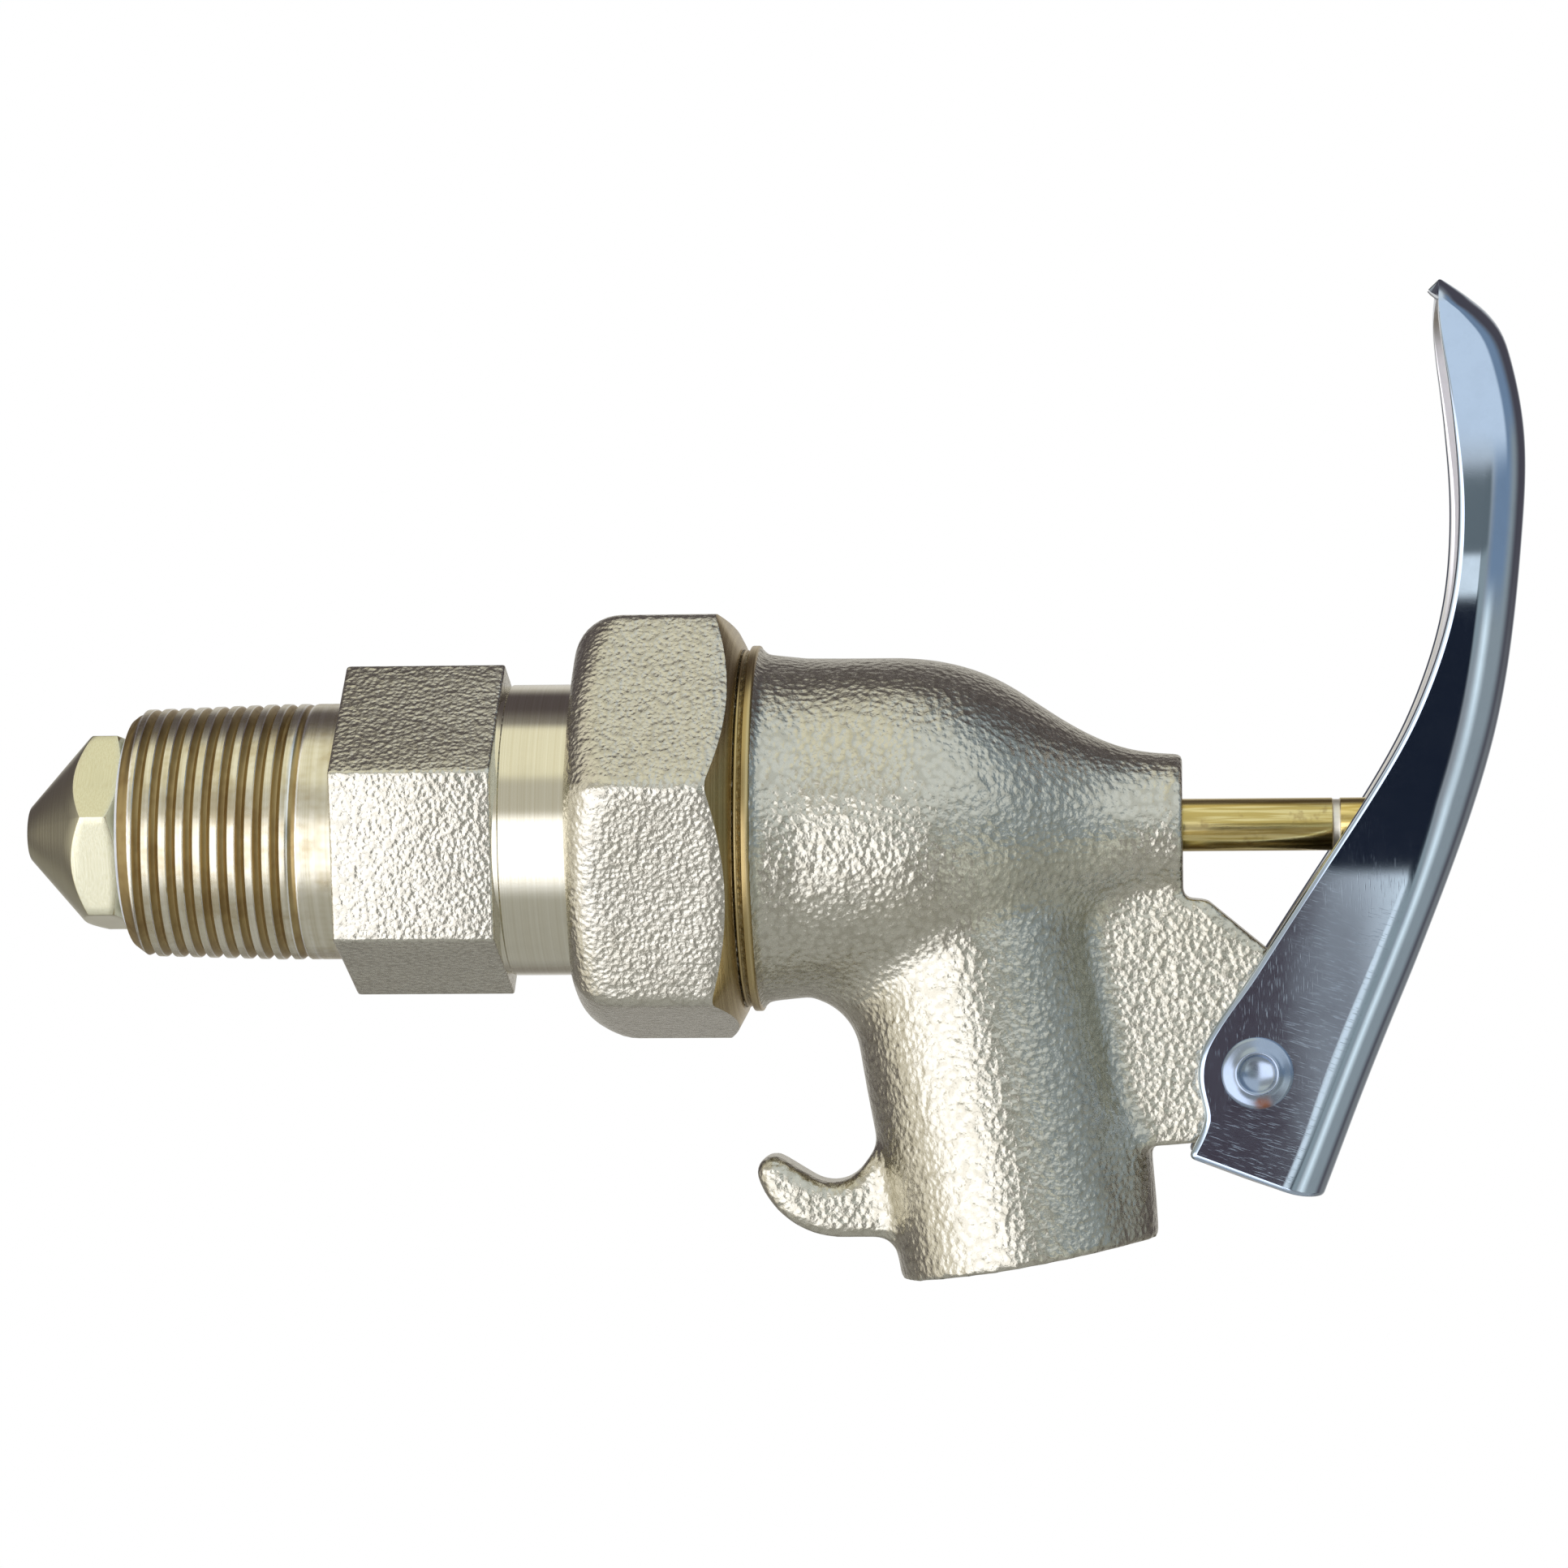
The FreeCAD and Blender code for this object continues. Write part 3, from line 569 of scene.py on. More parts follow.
def thread_rule(tree, size):
    """A helical band, one pitch wide, that fades into the end chamfer and into the shank."""
    sockets = {
        "Size X": size["turns"],
        "Size Y": 1.0,
        "Vertices X": size["turns"] * THREAD_STEPS + 1.0,
        "Vertices Y": THREAD_ROWS + 1,
    }
    grid = tree.node("GeometryNodeMeshGrid", {}, sockets, "Mesh")
    u, v, flat = tree.node("GeometryNodeInputPosition").parts()
    turn = u + size["turns"] * 0.5
    across = v + 0.5
    along = size["start"] + size["pitch"] * (turn + across - 1.5)
    x = along.higher(size["start"]).lower(size["end"])
    sunk = (1.0 - (across - groove_place).size() * groove_slope).higher(0.0)
    fade = ((size["end"] - along) / (size["pitch"] * run_out)).higher(0.0).lower(1.0)
    cone = (size["radius"] + x * size["taper"]).lower(size["shank"])
    chamfer = size["mouth"] + (x - size["start"]) * mouth_slope
    radius = (cone - sunk * size["depth"] * fade).lower(chamfer)
    angle = turn * (2 * math.pi)
    place = tree.vector(x, radius * angle.cosine() * -1.0, radius * angle.sine())
    bent = tree.node("GeometryNodeSetPosition", {}, {"Geometry": grid, "Position": place})
    return tree.node("GeometryNodeMergeByDistance", {}, {"Geometry": bent, "Distance": 0.000001})


def spring_rule(tree, size):
    """Round wire wound on a rod: the coils lie closer towards both ends."""
    points_along = 385
    crowding = 0.55
    line = tree.node("GeometryNodeCurvePrimitiveLine", {}, {"Start": (0, 0, 0), "End": (1, 0, 0)})
    line = tree.node("GeometryNodeResampleCurve", {}, {"Curve": line, "Count": points_along})
    t = tree.node("GeometryNodeInputPosition").parts()[0]
    along = t - (t * (2 * math.pi)).sine() * (crowding / (2 * math.pi))
    angle = t * size["turns"] * (2 * math.pi)
    x = size["start"] + along * (size["end"] - size["start"])
    place = tree.vector(x, size["radius"] * angle.cosine(), size["radius"] * angle.sine())
    path = tree.node("GeometryNodeSetPosition", {}, {"Geometry": line, "Position": place})
    wire = tree.node("GeometryNodeCurvePrimitiveCircle", {}, {"Resolution": 12, "Radius": size["wire"]})
    sockets = {"Curve": path, "Profile Curve": wire, "Fill Caps": True}
    return tree.node("GeometryNodeCurveToMesh", {}, sockets)


# Pieces

def nipple_thread(material):
    """Threaded shank with its bore: the helical band is joined to a turned ring."""
    thread_start = inlet_face + 0.06
    thread_end = hex_start - 2.9
    mouth = pipe_radius + pipe_taper * thread_start - 0.95
    turns = math.ceil((thread_end - thread_start) / thread_pitch) + 2
    band = grown_mesh("nipple_thread_band", {
        "start": thread_start * MM,
        "end": thread_end * MM,
        "pitch": thread_pitch * MM,
        "depth": thread_depth * MM,
        "radius": pipe_radius * MM,
        "taper": pipe_taper,
        "shank": shank_radius * MM,
        "mouth": mouth * MM,
        "turns": turns,
    }, material, thread_rule)
    shank = min(pipe_radius + pipe_taper * thread_end, shank_radius)
    outline = [
        (thread_end, shank),
        (hex_start - 0.5, shank_radius),
        (hex_start + 0.4, shank_radius),
        (hex_start + 0.4, nipple_bore),
        (inlet_face + 0.4, nipple_bore),
        (inlet_face, nipple_bore + 0.4),
        (inlet_face, mouth - 0.1),
        (thread_start, mouth),
    ]
    points = [Vector(p) * MM for p in turned_points(outline, THREAD_STEPS)]
    count = len(band.vertices)
    everything = [v.co.copy() for v in band.vertices] + points
    faces = [tuple(p.vertices) for p in band.polygons]
    ring = sheet_faces(len(outline), THREAD_STEPS, False, True)
    faces += [tuple(index + count for index in face) for face in ring]
    mesh = bpy.data.meshes.new("nipple_thread")
    mesh.from_pydata(everything, [], faces)
    tidy_mesh(mesh)
    return piece_of("nipple_thread", mesh, material, 40.0)


def nipple_hex(material):
    """Wrench hexagon with its cast skin left on, faced off at both ends."""
    def path(reach):
        ends = [
            (hex_start, nipple_bore + 1.0, 0.0),
            (hex_start, reach, 0.45),
            (hex_end, reach, 0.3),
            (hex_end, nipple_bore + 1.0, 0.0),
        ]
        return eased(ends, 4)

    return hex_piece("nipple_hex", hex_columns(hex_flats, hex_turn, 0.55), path, material)


def nipple_barrel(material):
    """Turned barrel that the union nut slides along, ending in the clamping flange."""
    outline = eased([
        (hex_end - 0.4, nipple_bore, 0.0),
        (hex_end - 0.4, barrel_radius - 0.15, 0.0),
        (hex_end + 0.5, barrel_radius - 0.15, 0.1),
        (hex_end + 0.65, barrel_radius, 0.1),
        (flange_start, barrel_radius, 0.4),
        (flange_start, flange_radius, 0.2),
        (flange_end, flange_radius, 0.4),
        (flange_end, nipple_bore, 0.4),
    ])
    return lathed("nipple_barrel", outline, material)


def union_nut(cast, machined):
    """Six-sided nut: rounded cast back, machined and chamfered front."""
    reach_at_corner = nut_flats / 2 / math.cos(math.pi / 6)
    back_fettled = 0.6
    start = nut_start + back_fettled
    chamfer_depth = 2.5
    chamfer_low = reach_at_corner - chamfer_depth / chamfer_slope
    crisp = 0.1
    bore = 18.3
    hole = 15.5
    round_on_flats = 3.2
    more_at_corners = 2.2

    def path(reach):
        corner_share = (reach - nut_flats / 2) / (reach_at_corner - nut_flats / 2)
        round_end = round_on_flats + more_at_corners * corner_share
        outline = [(start, hole + 0.3), (start, reach - round_end - 0.3)]
        for angle in between(0.0, math.pi / 2, 10):
            along = start + round_end * (1 - math.cos(angle))
            outline.append((along, reach - round_end * (1 - math.sin(angle))))
        cuts = chamfered_end(outline, reach, nut_end, chamfer_low, crisp, 8)
        down = min(reach, chamfer_low)
        outline.append((nut_end - 0.06, down if cuts else reach - crisp))
        outline.append((nut_end, min(down, reach - crisp) - 0.12))
        outline += [
            (nut_end, bore + 0.5),
            (nut_end - 0.5, bore),
            (flange_start, bore),
            (flange_start, hole),
            (start + 0.3, hole),
        ]
        return outline

    columns = hex_columns(nut_flats, nut_turn, 1.9, 12, 8)
    piece = hex_piece("union_nut_shell", columns, path, cast, 32.0)
    piece.data.materials.append(machined)
    for face in piece.data.polygons:
        radius = math.hypot(face.center.y, face.center.z) / MM
        front_facing = face.normal.x > 0.3
        inside = radius < bore + 0.6 and face.center.x / MM > nut_start + 1
        if front_facing or inside:
            face.material_index = 1
    return piece


def collar_rings(material):
    """Turned collar at the end of the neck, with the last turns of the union thread beside it."""
    outline = eased([
        (neck_end - 3.4, 15.0, 0.0),
        (neck_end - 3.4, 17.9, 0.2),
        (neck_end - 0.95, 17.9, 0.1),
        (neck_end - 0.75, 18.75, 0.12),
        (neck_end - 0.45, 18.75, 0.12),
        (neck_end - 0.25, 18.1, 0.1),
        (neck_end, 18.1, 0.1),
        (neck_end, 19.18, 0.15),
        (collar_end - 0.2, 19.18, 0.15),
        (collar_end + 0.1, 18.4, 0.2),
        (collar_end + 1.0, 15.0, 0.0),
    ])
    return lathed("collar_rings", outline, material, 160)


def rib_under_lug(places):
    """Millimetres by which the spout's lever side stands out in a rib, from the lug to the mouth."""
    depth, half_width, ease = 1.8, 8.5, 5.0
    top, top_ease = -28.5, 4.0
    fade_start, fade_length = -34.0, 16.7
    spout_side, spout_lean = 84.1, 0.176
    x, y, z = places.T / MM
    down = np.clip((top - z) / top_ease, 0, 1)
    fading = 1.0 - np.clip((fade_start - z) / fade_length, 0, 1)
    beside = np.clip((x - spout_side + z * spout_lean) / ease, 0, 1)
    middle = np.clip((half_width - np.abs(y)) / ease, 0, 1)
    return depth * down * fading * beside * middle ** 2 * (3 - 2 * middle)


def cast_body(material):
    """The casting with the slightly swollen, uneven skin that a sand mould leaves."""
    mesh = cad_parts["body_casting"].data.copy()
    shape = bmesh.new()
    shape.from_mesh(mesh)
    bmesh.ops.remove_doubles(shape, verts=shape.verts, dist=0.01 * MM)
    shape.to_mesh(mesh)
    shape.free()
    holder = bpy.data.objects.new("cast_body_blank", mesh)
    scene.collection.objects.link(holder)
    remesh = holder.modifiers.new("grain", "REMESH")
    remesh.mode = "VOXEL"
    remesh.voxel_size = 0.47 * MM
    remesh.adaptivity = 0.0
    smooth = holder.modifiers.new("soften", "SMOOTH")
    smooth.factor = 0.5
    smooth.iterations = 4
    skin = finished_mesh(holder)
    count = len(skin.vertices)
    places = np.empty(count * 3)
    skin.vertices.foreach_get("co", places)
    normals = np.empty(count * 3)
    skin.vertices.foreach_get("normal", normals)
    places = places.reshape(-1, 3)
    normals = normals.reshape(-1, 3)
    low = places.min(axis=0)
    high = places.max(axis=0)
    places[:, 0] += rib_under_lug(places) * MM
    swell = np.array([noise.noise(Vector(p) * 140.0) for p in places])
    places += normals * (swell * 0.07 * MM)[:, None]
    places = np.clip(places, low, high)
    skin.vertices.foreach_set("co", places.ravel())
    skin.update()
    return piece_of("cast_body", skin, material, 180.0)


def poppet_nose(material):
    """Hexagonal nose turned to a cone at the drum end, with a recess for the seal."""
    back = inlet_face - 0.5
    corner = poppet_flats / 2 / math.cos(math.pi / 6)
    tip_radius = 2.85
    slope = math.tan(math.radians(48.0))
    cone_start = back - 3.55
    tip = cone_start - (corner - tip_radius) / slope
    tip_round = 0.12
    chamfer_low = corner - 0.9 / chamfer_slope
    crisp = 0.09
    recess_radius = 9.0
    hole_end = seal_back - 6.4

    def path(reach):
        outline = [(tip, 0.0), (tip, tip_radius - tip_round)]
        rounded = (tip + tip_round, tip_radius + tip_round * slope)
        outline += corner_curve(outline[-1], (tip, tip_radius), rounded, 3)[1:]
        cone_end = tip + (reach - tip_radius) / slope
        for x in between(tip + tip_round, cone_end - crisp, 5)[1:]:
            outline.append((x, tip_radius + (x - tip) * slope))
        outline += corner_curve(outline[-1], (cone_end, reach), (cone_end + crisp, reach), 2)[1:]
        chamfered_end(outline, reach, back, chamfer_low, crisp, 5)
        outline += [
            (back, min(chamfer_low, reach - crisp)),
            (back, recess_radius),
            (seal_back, recess_radius),
            (seal_back, seal_hole),
            (hole_end, seal_hole),
            (hole_end, 0.0),
        ]
        return outline

    columns = hex_columns(poppet_flats, poppet_turn, 0.12, 14, 3)
    return hex_piece("poppet_cone", columns, path, material, 28.0)


def poppet_ring_seal(material):
    """Flat seal in the nose's recess, with a lip that shows between the nose and the nipple's end."""
    outline = eased([
        (seal_back, seal_hole, 0.0),
        (inlet_face - 0.01, seal_hole, 0.1),
        (inlet_face - 0.01, 10.95, 0.15),
        (inlet_face - 0.47, 10.95, 0.15),
        (inlet_face - 0.52, 8.98, 0.05),
        (seal_back, 8.98, 0.1),
    ], 3)
    return lathed("poppet_ring_seal", outline, material)


def push_stem(material):
    """Polished rod with the spigot for the poppet, the clip groove and a witness ring near the lever."""
    radius = stem_radius
    spigot = 2.2
    shoulder = inlet_face + 1.2
    clip_start = spring_end + 1.2
    tip = stem_tip()
    corners = [
        (inlet_face - 7.6, 0.0, 0.0),
        (inlet_face - 7.6, spigot, 0.3),
        (shoulder, spigot, 0.0),
        (shoulder, radius, 0.2),
        (clip_start, radius, 0.05),
        (clip_start, spigot, 0.05),
        (clip_start + 0.6, spigot, 0.05),
        (clip_start + 0.6, radius, 0.05),
        (witness_mark - 0.2, radius, 0.05),
        (witness_mark - 0.05, radius - 0.15, 0.1),
        (witness_mark + 0.55, radius - 0.15, 0.1),
        (witness_mark + 0.7, radius, 0.05),
    ]
    outline = eased(corners + [(tip - radius, radius)], 2)
    for angle in between(0.0, math.pi / 2, 8)[1:]:
        outline.append((tip - radius + radius * math.sin(angle), radius * math.cos(angle)))
    return lathed("push_stem", outline, material, 64)


def stem_tip():
    """Where the rounded stem end stands, just clear of the lever's web."""
    gap = 0.3
    reach = web_offset - lever_sheet - stem_radius - gap
    return pivot_x + (reach - pivot_z * math.sin(web_lean)) / math.cos(web_lean) + stem_radius


def curve_through(points):
    """Smooth curve through (height, reach) points, as a function of height."""
    heights = np.array([p[0] for p in points], float)
    reaches = np.array([p[1] for p in points], float)
    count = len(heights)
    gaps = np.diff(heights)
    slopes = np.diff(reaches) / gaps
    matrix = np.zeros((count, count))
    matrix[0, 0] = matrix[-1, -1] = 1.0
    side = np.zeros(count)
    for k in range(1, count - 1):
        matrix[k, k - 1] = gaps[k - 1]
        matrix[k, k] = 2 * (gaps[k - 1] + gaps[k])
        matrix[k, k + 1] = gaps[k]
        side[k] = 6 * (slopes[k] - slopes[k - 1])
    bends = np.linalg.solve(matrix, side)

    def value(height):
        height = min(max(height, heights[0]), heights[-1])
        k = min(max(int(np.searchsorted(heights, height)) - 1, 0), count - 2)
        low = heights[k + 1] - height
        high = height - heights[k]
        gap = gaps[k]
        bent = (bends[k] * low ** 3 + bends[k + 1] * high ** 3) / (6 * gap)
        before = (reaches[k] / gap - bends[k] * gap / 6) * low
        after = (reaches[k + 1] / gap - bends[k + 1] * gap / 6) * high
        return bent + before + after

    return value


# Share of the tip's height, and how far the web there stands out past the tip's reach
thumb_bow = ((0.435, 5.2), (0.557, 6.9), (0.679, 7.9), (0.801, 8.2), (0.899, 6.9), (0.962, 4.2))


def web_reach(height):
    return (web_offset + height * math.sin(web_lean)) / math.cos(web_lean)


def lever_curves():
    """Reach from the pivot of the web's outer face and of the walls' free edge, by height above it."""
    web = [(20.0 * share, web_reach(20.0 * share)) for share in (-1.0, -0.4, 0.3, 1.0)]
    web += [(share * thumb_tip_height, thumb_tip_reach + past) for share, past in thumb_bow]
    web.append((thumb_tip_height, thumb_tip_reach))
    edge = [
        (-9.4, -7.35), (-8.6, -7.1), (-7.0, -6.3), (-5.7, -5.74), (-4.9, -5.5), (-3.8, -5.53),
        (-2.1, -5.93), (-0.5, -6.15), (1.1, -6.03), (2.7, -5.55), (4.0, -4.85), (5.3, -4.03),
        (8.8, -1.5), (12.7, 1.1), (21.0, 6.55), (30.2, 12.55), (35.6, 15.6), (40.3, 17.65),
        (45.6, 19.4), (50.5, 20.4), (55.6, 20.85), (60.0, 20.9), (65.6, 20.55), (70.0, 20.1),
        (75.0, 19.45), (79.0, 19.2), (81.9, 19.4),
    ]
    return curve_through(web), curve_through(edge)


def foot_height(reach):
    """Height of the lever's sheared foot: a slant that levels off towards the web."""
    return -8.75 - 0.376 * (reach + 7.1) + 0.05 * max(reach - 2.5, 0.0) ** 2


def foot_lift(height):
    """How much of the foot's slant a section takes on."""
    return (max(foot_high - height, 0.0) / (foot_high - foot_low)) ** 2


def lever_half_at(height):
    """Half width of the lever: narrow at the pivot, flared to the thumb and round at the tip."""
    flare_start, flare_length = 17.0, 38.0
    round_start, past_tip = 52.0, 0.7
    share = min(max((height - flare_start) / flare_length, 0.0), 1.0)
    half = lever_half + (thumb_half - lever_half) * share * share * (3 - 2 * share)
    rise = max((height - round_start) / (thumb_tip_height + past_tip - round_start), 0.0)
    return half * math.sqrt(max(1.0 - rise ** 4, 0.0))


def lever_heights():
    """Heights of the sections, closer together towards the tip."""
    heights = [foot_low] + between(-11.9, thumb_tip_start, 98)
    for angle in between(0.0, math.pi / 2, 24)[1:]:
        heights.append(thumb_tip_start + (thumb_tip_height - thumb_tip_start) * math.sin(angle))
    return heights


def lever_section(web, free_edge, height, inset):
    """Section from the near free edge round the web to the far one, at one height above the pivot."""
    slope = (web(height + 0.05) - web(height - 0.05)) / 0.1
    skin = web(height)
    along = Vector((slope, 1.0)).normalized()
    inner_reach = skin - along.y * inset
    inner_height = height + along.x * inset
    outer_half = lever_half_at(height)
    half = max(outer_half - inset, 0.06)
    corner = max(min(web_corner, 0.6 * outer_half) - inset, 0.05)
    edge = free_edge(height)
    for tries in range(6):
        edge = free_edge(height + (foot_height(edge) - foot_low) * foot_lift(height))
    edge = min(edge, inner_reach - 0.12)
    corner = min(corner, (inner_reach - edge) * 0.9, half * 0.95)
    wall = []
    flat = inner_reach - corner - edge
    for reach in [edge] + between(edge + min(0.8, flat * 0.4), edge + flat, 11):
        wall.append((reach, -half))
    for angle in between(0.0, math.pi / 2, 10)[1:]:
        reach = inner_reach - corner + corner * math.sin(angle)
        wall.append((reach, -half + corner * (1 - math.cos(angle))))
    for side in between(-half + corner, 0.0, 5)[1:-1]:
        wall.append((inner_reach, side))
    wall.append((inner_reach, 0.0))
    mirrored = [(reach, -side) for reach, side in reversed(wall[:-1])]
    points = []
    level_edge = min(max((81.0 - height) / 6.0, 0.0), 1.0)
    for reach, side in wall + mirrored:
        deep = (inner_reach - reach) / max(inner_reach - edge, 0.01)
        drop = along.x * inset * min(deep * 2.0, 1.0) * level_edge
        points.append((reach, side, inner_height - drop))
    return points


def thumb_lever(material, inside_finish):
    """Lever pressed from one sheet: an open channel at the pivot that bows out into the thumb plate."""
    web, free_edge = lever_curves()
    heights = lever_heights()
    skins = []
    for inset in (0.0, lever_sheet):
        rows = []
        for height in heights:
            row = []
            for reach, side, level in lever_section(web, free_edge, height, inset):
                lifted = level + (foot_height(reach) - foot_low) * foot_lift(height)
                row.append((pivot_x + reach, side, pivot_z + lifted))
            rows.append(row)
        skins.append(rows)
    points = [p for outer, inner in zip(*skins) for p in outer + inner[::-1]]
    columns = len(skins[0][0])
    width = 2 * columns
    faces = sheet_faces(len(heights), width, False, True)
    for base in (0, (len(heights) - 1) * width):
        for c in range(columns - 1):
            faces.append((base + c, base + c + 1, base + width - 2 - c, base + width - 1 - c))
    mesh = closed_mesh("thumb_lever", points, faces)
    piece = piece_of("thumb_lever", mesh, material, 40.0)
    mesh.materials.append(inside_finish)
    for face in mesh.polygons:
        height = face.center.z / MM - pivot_z
        reach = face.center.x / MM - pivot_x
        inward = -math.copysign(1.0, face.center.y) * face.normal.y
        if inward > 0.3 or (face.normal.x < -0.3 and reach > free_edge(height) + 1.5):
            face.material_index = 1
    shape = bmesh.new()
    shape.from_mesh(mesh)
    weights = shape.edges.layers.float.new("bevel_weight_edge")
    for edge in shape.edges:
        height = max(v.co.z for v in edge.verts) / MM - pivot_z
        if edge.calc_face_angle(0.0) > math.radians(50.0):
            edge[weights] = min(max((79.0 - height) / 20.0, 0.0), 1.0)
    shape.to_mesh(mesh)
    shape.free()
    bevel = piece.modifiers.new("rolled edge", "BEVEL")
    bevel.width = 0.6 * MM
    bevel.segments = 4
    bevel.limit_method = "WEIGHT"
    bevel.use_clamp_overlap = False
    return piece


def pivot_rivet(material):
    """Hollow rivet: a rolled rim round a domed cup on the near side and a dome on the far side."""
    half = lever_half + 0.05
    head = 3.7
    shank = 2.4
    # How far each head stands out of its wall, and how far in from its rim
    near = [
        (-0.02, 0.1), (0.16, 0.0), (0.34, 0.1), (0.42, 0.4), (0.52, 0.8), (0.64, 1.15),
        (0.84, 1.35), (0.92, 1.5), (0.9, 1.64), (0.78, 1.76), (0.6, 1.92), (0.42, 2.15),
        (0.28, 2.45), (0.19, 2.8), (0.14, 3.15), (0.12, 3.5), (0.115, head),
    ]
    far = [(-0.02, 0.15), (0.3, 0.0), (0.6, 0.35), (0.86, 1.1), (1.02, 2.2), (1.08, 3.2), (1.09, head)]
    outline = [(-half - out, head - inward) for out, inward in reversed(near)]
    outline += [(-half + 0.3, shank), (half - 0.3, shank)]
    outline += [(half + out, head - inward) for out, inward in far]
    steps = 72
    points = []
    for y, radius in outline:
        for k in range(steps):
            angle = 2 * math.pi * k / steps
            points.append((pivot_x + radius * math.cos(angle), y, pivot_z + radius * math.sin(angle)))
    faces = sheet_faces(len(outline), steps, False, True)
    return piece_of("pivot_rivet", closed_mesh("pivot_rivet", points, faces), material, 50.0)


def closing_spring(material):
    held = 0.38
    mesh = grown_mesh("closing_coil", {
        "start": (spider_end + held) * MM,
        "end": (spring_end - held) * MM,
        "radius": 4.2 * MM,
        "wire": 0.365 * MM,
        "turns": 8.0,
    }, material, spring_rule)
    tidy_mesh(mesh)
    return piece_of("closing_coil", mesh, material, 60.0)


# Studio

# Height of the floor, in metres
FLOOR = -0.75


def studio_floor():
    """Pale round floor well below the faucet, fading out at its rim."""
    material, tree = new_finish("pale_floor")
    place = tree.node("ShaderNodeTexCoord", output="Object")
    x, y, z = place.parts()
    radius = (x * x + y * y).root()
    fleck = tree.noise(place, 30.0, 2.0)
    colour = tree.mix(fleck, (0.84, 0.84, 0.83), (0.87, 0.87, 0.86))
    close_finish(tree, {"Base Color": colour, "Roughness": 0.8, "Alpha": radius.share(1.1, 0.5)})
    steps = 64
    rings = (0.25, 0.5, 0.75, 1.0, 1.2)
    points = [(0.0, 0.0, FLOOR)]
    for ring in rings:
        for k in range(steps):
            angle = 2 * math.pi * k / steps
            points.append((ring * math.cos(angle), ring * math.sin(angle), FLOOR))
    faces = [(0, 1 + k, 1 + (k + 1) % steps) for k in range(steps)]
    for ring in range(len(rings) - 1):
        for k in range(steps):
            a = 1 + ring * steps + k
            b = 1 + ring * steps + (k + 1) % steps
            faces.append((a, a + steps, b + steps, b))
    mesh = bpy.data.meshes.new("studio_floor")
    mesh.from_pydata(points, [], faces)
    floor = bpy.data.objects.new("studio_floor", mesh)
    mesh.materials.append(material)
    scene.collection.objects.link(floor)


# Panels of the tent, the later ones over the earlier: azimuth from the camera's side towards the
# lever, elevation, half width, half height, softness across and upright, all in degrees, then
# strength and tint
PANELS = (
    (-35, 62, 58, 24, 20, 8, 0.95, (1.0, 0.99, 0.84)),
    (-10, 21, 50, 18, 8, 6, 0.58, (1.0, 0.99, 0.93)),
    (78, -5, 36, 62, 16, 12, 0.42, (0.92, 0.97, 0.93)),
    (36, -27, 8, 20, 14, 4, 1.3, (0.95, 1.0, 0.95)),
    (52, 3, 27, 12, 14, 4, 0.42, (0.6, 0.78, 1.0)),
    (80, 46, 26, 34, 10, 5, 0.42, (0.6, 0.78, 1.0)),
    (30, 45, 34, 37.5, 6, 4.5, 0.95, (0.86, 0.93, 1.0)),
    (-86, 0, 18, 70, 8, 10, 1.0, (1.0, 0.96, 0.86)),
    (180, 0, 80, 76, 16, 12, 0.1, (1.0, 0.86, 0.96)),
    (180, -30, 62, 22, 12, 10, 0.27, (1.0, 0.96, 0.9)),
    (180, 8, 24, 26, 12, 12, 0.7, (1.0, 0.98, 0.95)),
    (-34, -50, 33, 16, 6, 7, 1.1, (1.0, 1.0, 1.0)),
    (-29, -50, 19, 12, 3, 5, 1.7, (0.95, 0.98, 1.1)),
    (-34, -14, 32.5, 24, 6, 6, 1.95, (0.97, 0.98, 1.06)),
    (-6.5, -13.5, 4.5, 17, 1.5, 1.5, 2.1, (0.97, 0.98, 1.06)),
    (-7.7, -36, 0.9, 5.5, 0.3, 1.5, 0.45, (1.0, 0.97, 0.85)),
    (-7.7, -59, 1.2, 3.0, 0.4, 1.0, 0.12, (1.0, 0.9, 0.75)),
    (20, -45, 20, 22, 6, 6, 0.30, (0.95, 0.94, 0.95)),
    (12, -6, 9, 8, 5, 3, 0.42, (0.9, 1.0, 0.97)),
    (10, 2.6, 10, 3.4, 4, 1.2, 0.2, (0.88, 1.0, 1.0)),
    (4, -15, 5.5, 8.4, 3, 1.2, 0.03, (0.45, 0.6, 1.0)),
    (-1.2, -3.0, 1.7, 3.3, 0.4, 0.7, 0.05, (0.35, 0.5, 1.0)),
    (1.8, -3.0, 1.5, 3.3, 0.5, 0.7, 0.08, (1.0, 0.72, 0.84)),
    (4.2, -3.4, 1.5, 2.9, 0.7, 0.7, 1.1, (0.97, 1.0, 0.98)),
)


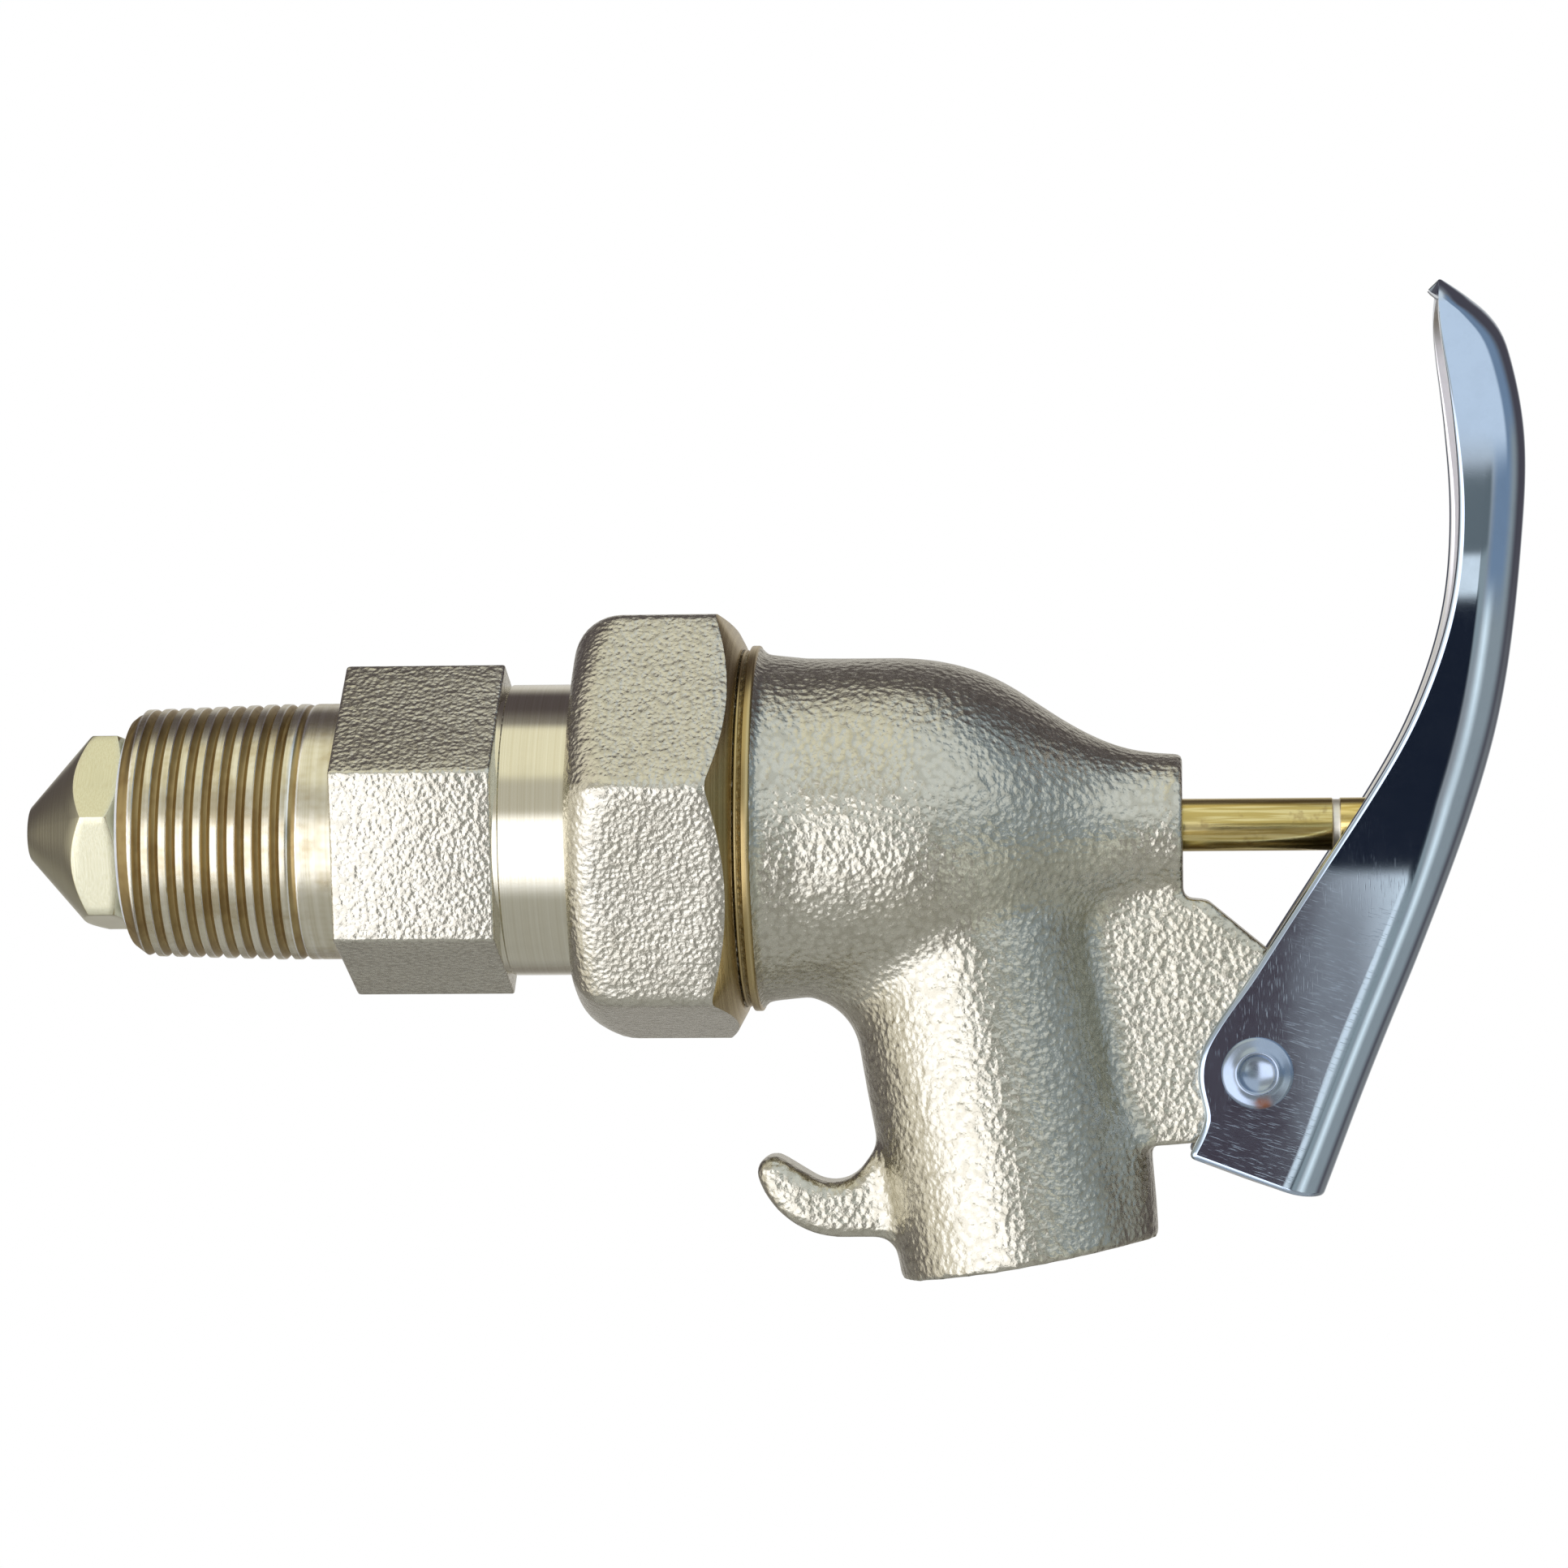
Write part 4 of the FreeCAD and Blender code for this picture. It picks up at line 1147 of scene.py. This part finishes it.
def light_tent():
    """Tent of soft panels round the faucet. The camera looks through it to the white background."""
    material, tree = new_finish("tent_light")
    place = tree.node("ShaderNodeTexCoord", output="Object")
    x, y, z = place.parts()
    degrees = 180.0 / math.pi
    azimuth = x.turn_to(y * -1.0) * degrees
    elevation = z.turn_to((x * x + y * y).root()) * degrees
    colour = tree.mix(elevation.share(76.0, 84.0), (0.40, 0.39, 0.37), (0.9, 0.9, 0.86))
    for middle, height, half_width, half_height, soft, soft_upright, strength, tint in PANELS:
        off = (azimuth - middle).size()
        off = off.lower((off - 360.0).size())
        across = off.share(half_width + soft, half_width - soft)
        above = (elevation - height).size()
        upright = above.share(half_height + soft_upright, half_height - soft_upright)
        colour = tree.mix(across * upright, colour, [strength * c for c in tint])
    glow = tree.node("ShaderNodeEmission", {}, {"Color": colour, "Strength": 1.0})
    tree.node("ShaderNodeOutputMaterial", {}, {"Surface": glow})
    mesh = bpy.data.meshes.new("light_tent")
    shape = bmesh.new()
    bmesh.ops.create_uvsphere(shape, u_segments=48, v_segments=24, radius=10.0)
    bmesh.ops.reverse_faces(shape, faces=shape.faces)
    shape.to_mesh(mesh)
    shape.free()
    mesh.materials.append(material)
    tent = bpy.data.objects.new("light_tent", mesh)
    tent.visible_camera = False
    scene.collection.objects.link(tent)


def white_world():
    world = bpy.data.worlds.new("white_world")
    world.use_nodes = True
    world.node_tree.nodes.clear()
    tree = Tree(world.node_tree)
    sky = tree.node("ShaderNodeBackground", {}, {"Color": (1.0, 1.0, 1.0, 1.0), "Strength": 1.0})
    tree.node("ShaderNodeOutputWorld", {}, {"Surface": sky})
    scene.world = world


def side_camera():
    """Level camera opposite the lever's pivot, turned a little towards the drum end."""
    turn = 0.0744
    roll = -0.0082
    sensor = 36.0
    photo_width = 1932.0
    focal_length = 6470.8
    forward = Vector((-math.sin(turn), math.cos(turn), 0.0))
    right = Vector((math.cos(turn), math.sin(turn), 0.0))
    up = right.cross(forward)
    across = right * math.cos(roll) + up * math.sin(roll)
    top = up * math.cos(roll) - right * math.sin(roll)
    data = bpy.data.cameras.new("side_camera")
    data.sensor_width = sensor
    data.lens = sensor * focal_length / photo_width
    data.clip_start = 0.01
    data.clip_end = 100.0
    camera = bpy.data.objects.new("side_camera", data)
    pose = Matrix((across, top, -forward)).transposed().to_4x4()
    pose.translation = Vector((0.101, -0.550, 0.00463))
    camera.matrix_world = pose
    scene.collection.objects.link(camera)
    scene.camera = camera


# Assembly

def fit(piece, body, slot, *nodes):
    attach(piece, body)
    if nodes:
        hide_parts(*nodes)


def carry_over(nodes, material):
    """Inner pieces keep their solids and get the real finish."""
    for node in nodes:
        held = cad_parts[node]
        held.data.materials.clear()
        held.data.materials.append(material)


body_skin = cast_brass("cast_brass", (0.66, 0.63, 0.525), (0.44, 0.41, 0.32), 0.8, 0.00012, 0.2)
flat_skin = cast_brass("cast_flats", (0.68, 0.65, 0.55), (0.44, 0.41, 0.33), 0.62, 0.00009, 0.18)
thread_finish = threaded_brass()
barrel_finish = turned_brass(
    "barrel_brass", (0.80, 0.76, 0.62), (0.72, 0.67, 0.52), 0.3, 0.000003, 0.05, 0.15)
chamfer_finish = turned_brass(
    "chamfer_brass", (0.58, 0.46, 0.23), (0.42, 0.31, 0.13), 0.3, 0.00001, 0.2)
poppet_finish = turned_brass(
    "poppet_brass", (0.76, 0.735, 0.54), (0.70, 0.66, 0.46), 0.14, 0.000004, 0.16, 0.1)
inner_brass = turned_brass(
    "inner_brass", (0.72, 0.58, 0.31), (0.58, 0.45, 0.22), 0.3, 0.00001, 0.25)
stem_finish = stem_brass()
# The lever's blue tint is a painted reflection of a blue surrounding, laid over the plating's own pale
# grey.
lever_chrome = chrome("lever_chrome", (0.56, 0.66, 0.79), 0.035)
inner_chrome = chrome("inner_chrome", (0.80, 0.78, 0.78), 0.3)
rust_spot = ((pivot_x + 0.6) * MM, (pivot_z - 3.0) * MM)
rivet_chrome = chrome("rivet_chrome", (0.38, 0.45, 0.55), 0.2, rust_spot)
spring_steel = stainless()
white_ptfe = ptfe()

fit(nipple_thread(thread_finish), "inlet", "machined_brass", "inlet_nipple")
fit(nipple_hex(flat_skin), "inlet", "machined_brass")
fit(nipple_barrel(barrel_finish), "inlet", "machined_brass")
fit(union_nut(flat_skin, chamfer_finish), "nut", "cast_brass", "union_nut")
fit(cast_body(body_skin), "faucet_body", "cast_brass", "body_casting")
fit(collar_rings(chamfer_finish), "faucet_body", "cast_brass")
fit(poppet_nose(poppet_finish), "valve", "machined_brass", "poppet_nose")
fit(poppet_ring_seal(white_ptfe), "valve", "ptfe", "poppet_seal")
fit(push_stem(stem_finish), "valve", "stem_brass", "valve_stem")
fit(thumb_lever(lever_chrome, inner_chrome), "lever_assembly", "chrome", "lever")
fit(pivot_rivet(rivet_chrome), "lever_assembly", "chrome", "lever_rivet")

coil = closing_spring(spring_steel)
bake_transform(coil)
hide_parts("closing_spring")

carry_over((
    "screen_spacer", "guide_spider", "packing_follower", "gland_nut", "seal_washer", "spring_seat",
), inner_brass)
carry_over(("arrester_screen_inner", "arrester_screen_outer", "retaining_clip"), spring_steel)
carry_over(("union_gasket", "packing_ring_inner", "packing_ring_outer"), white_ptfe)

studio_floor()
light_tent()
white_world()
side_camera()
scene.view_settings.view_transform = "Standard"

bpy.context.view_layer.update()
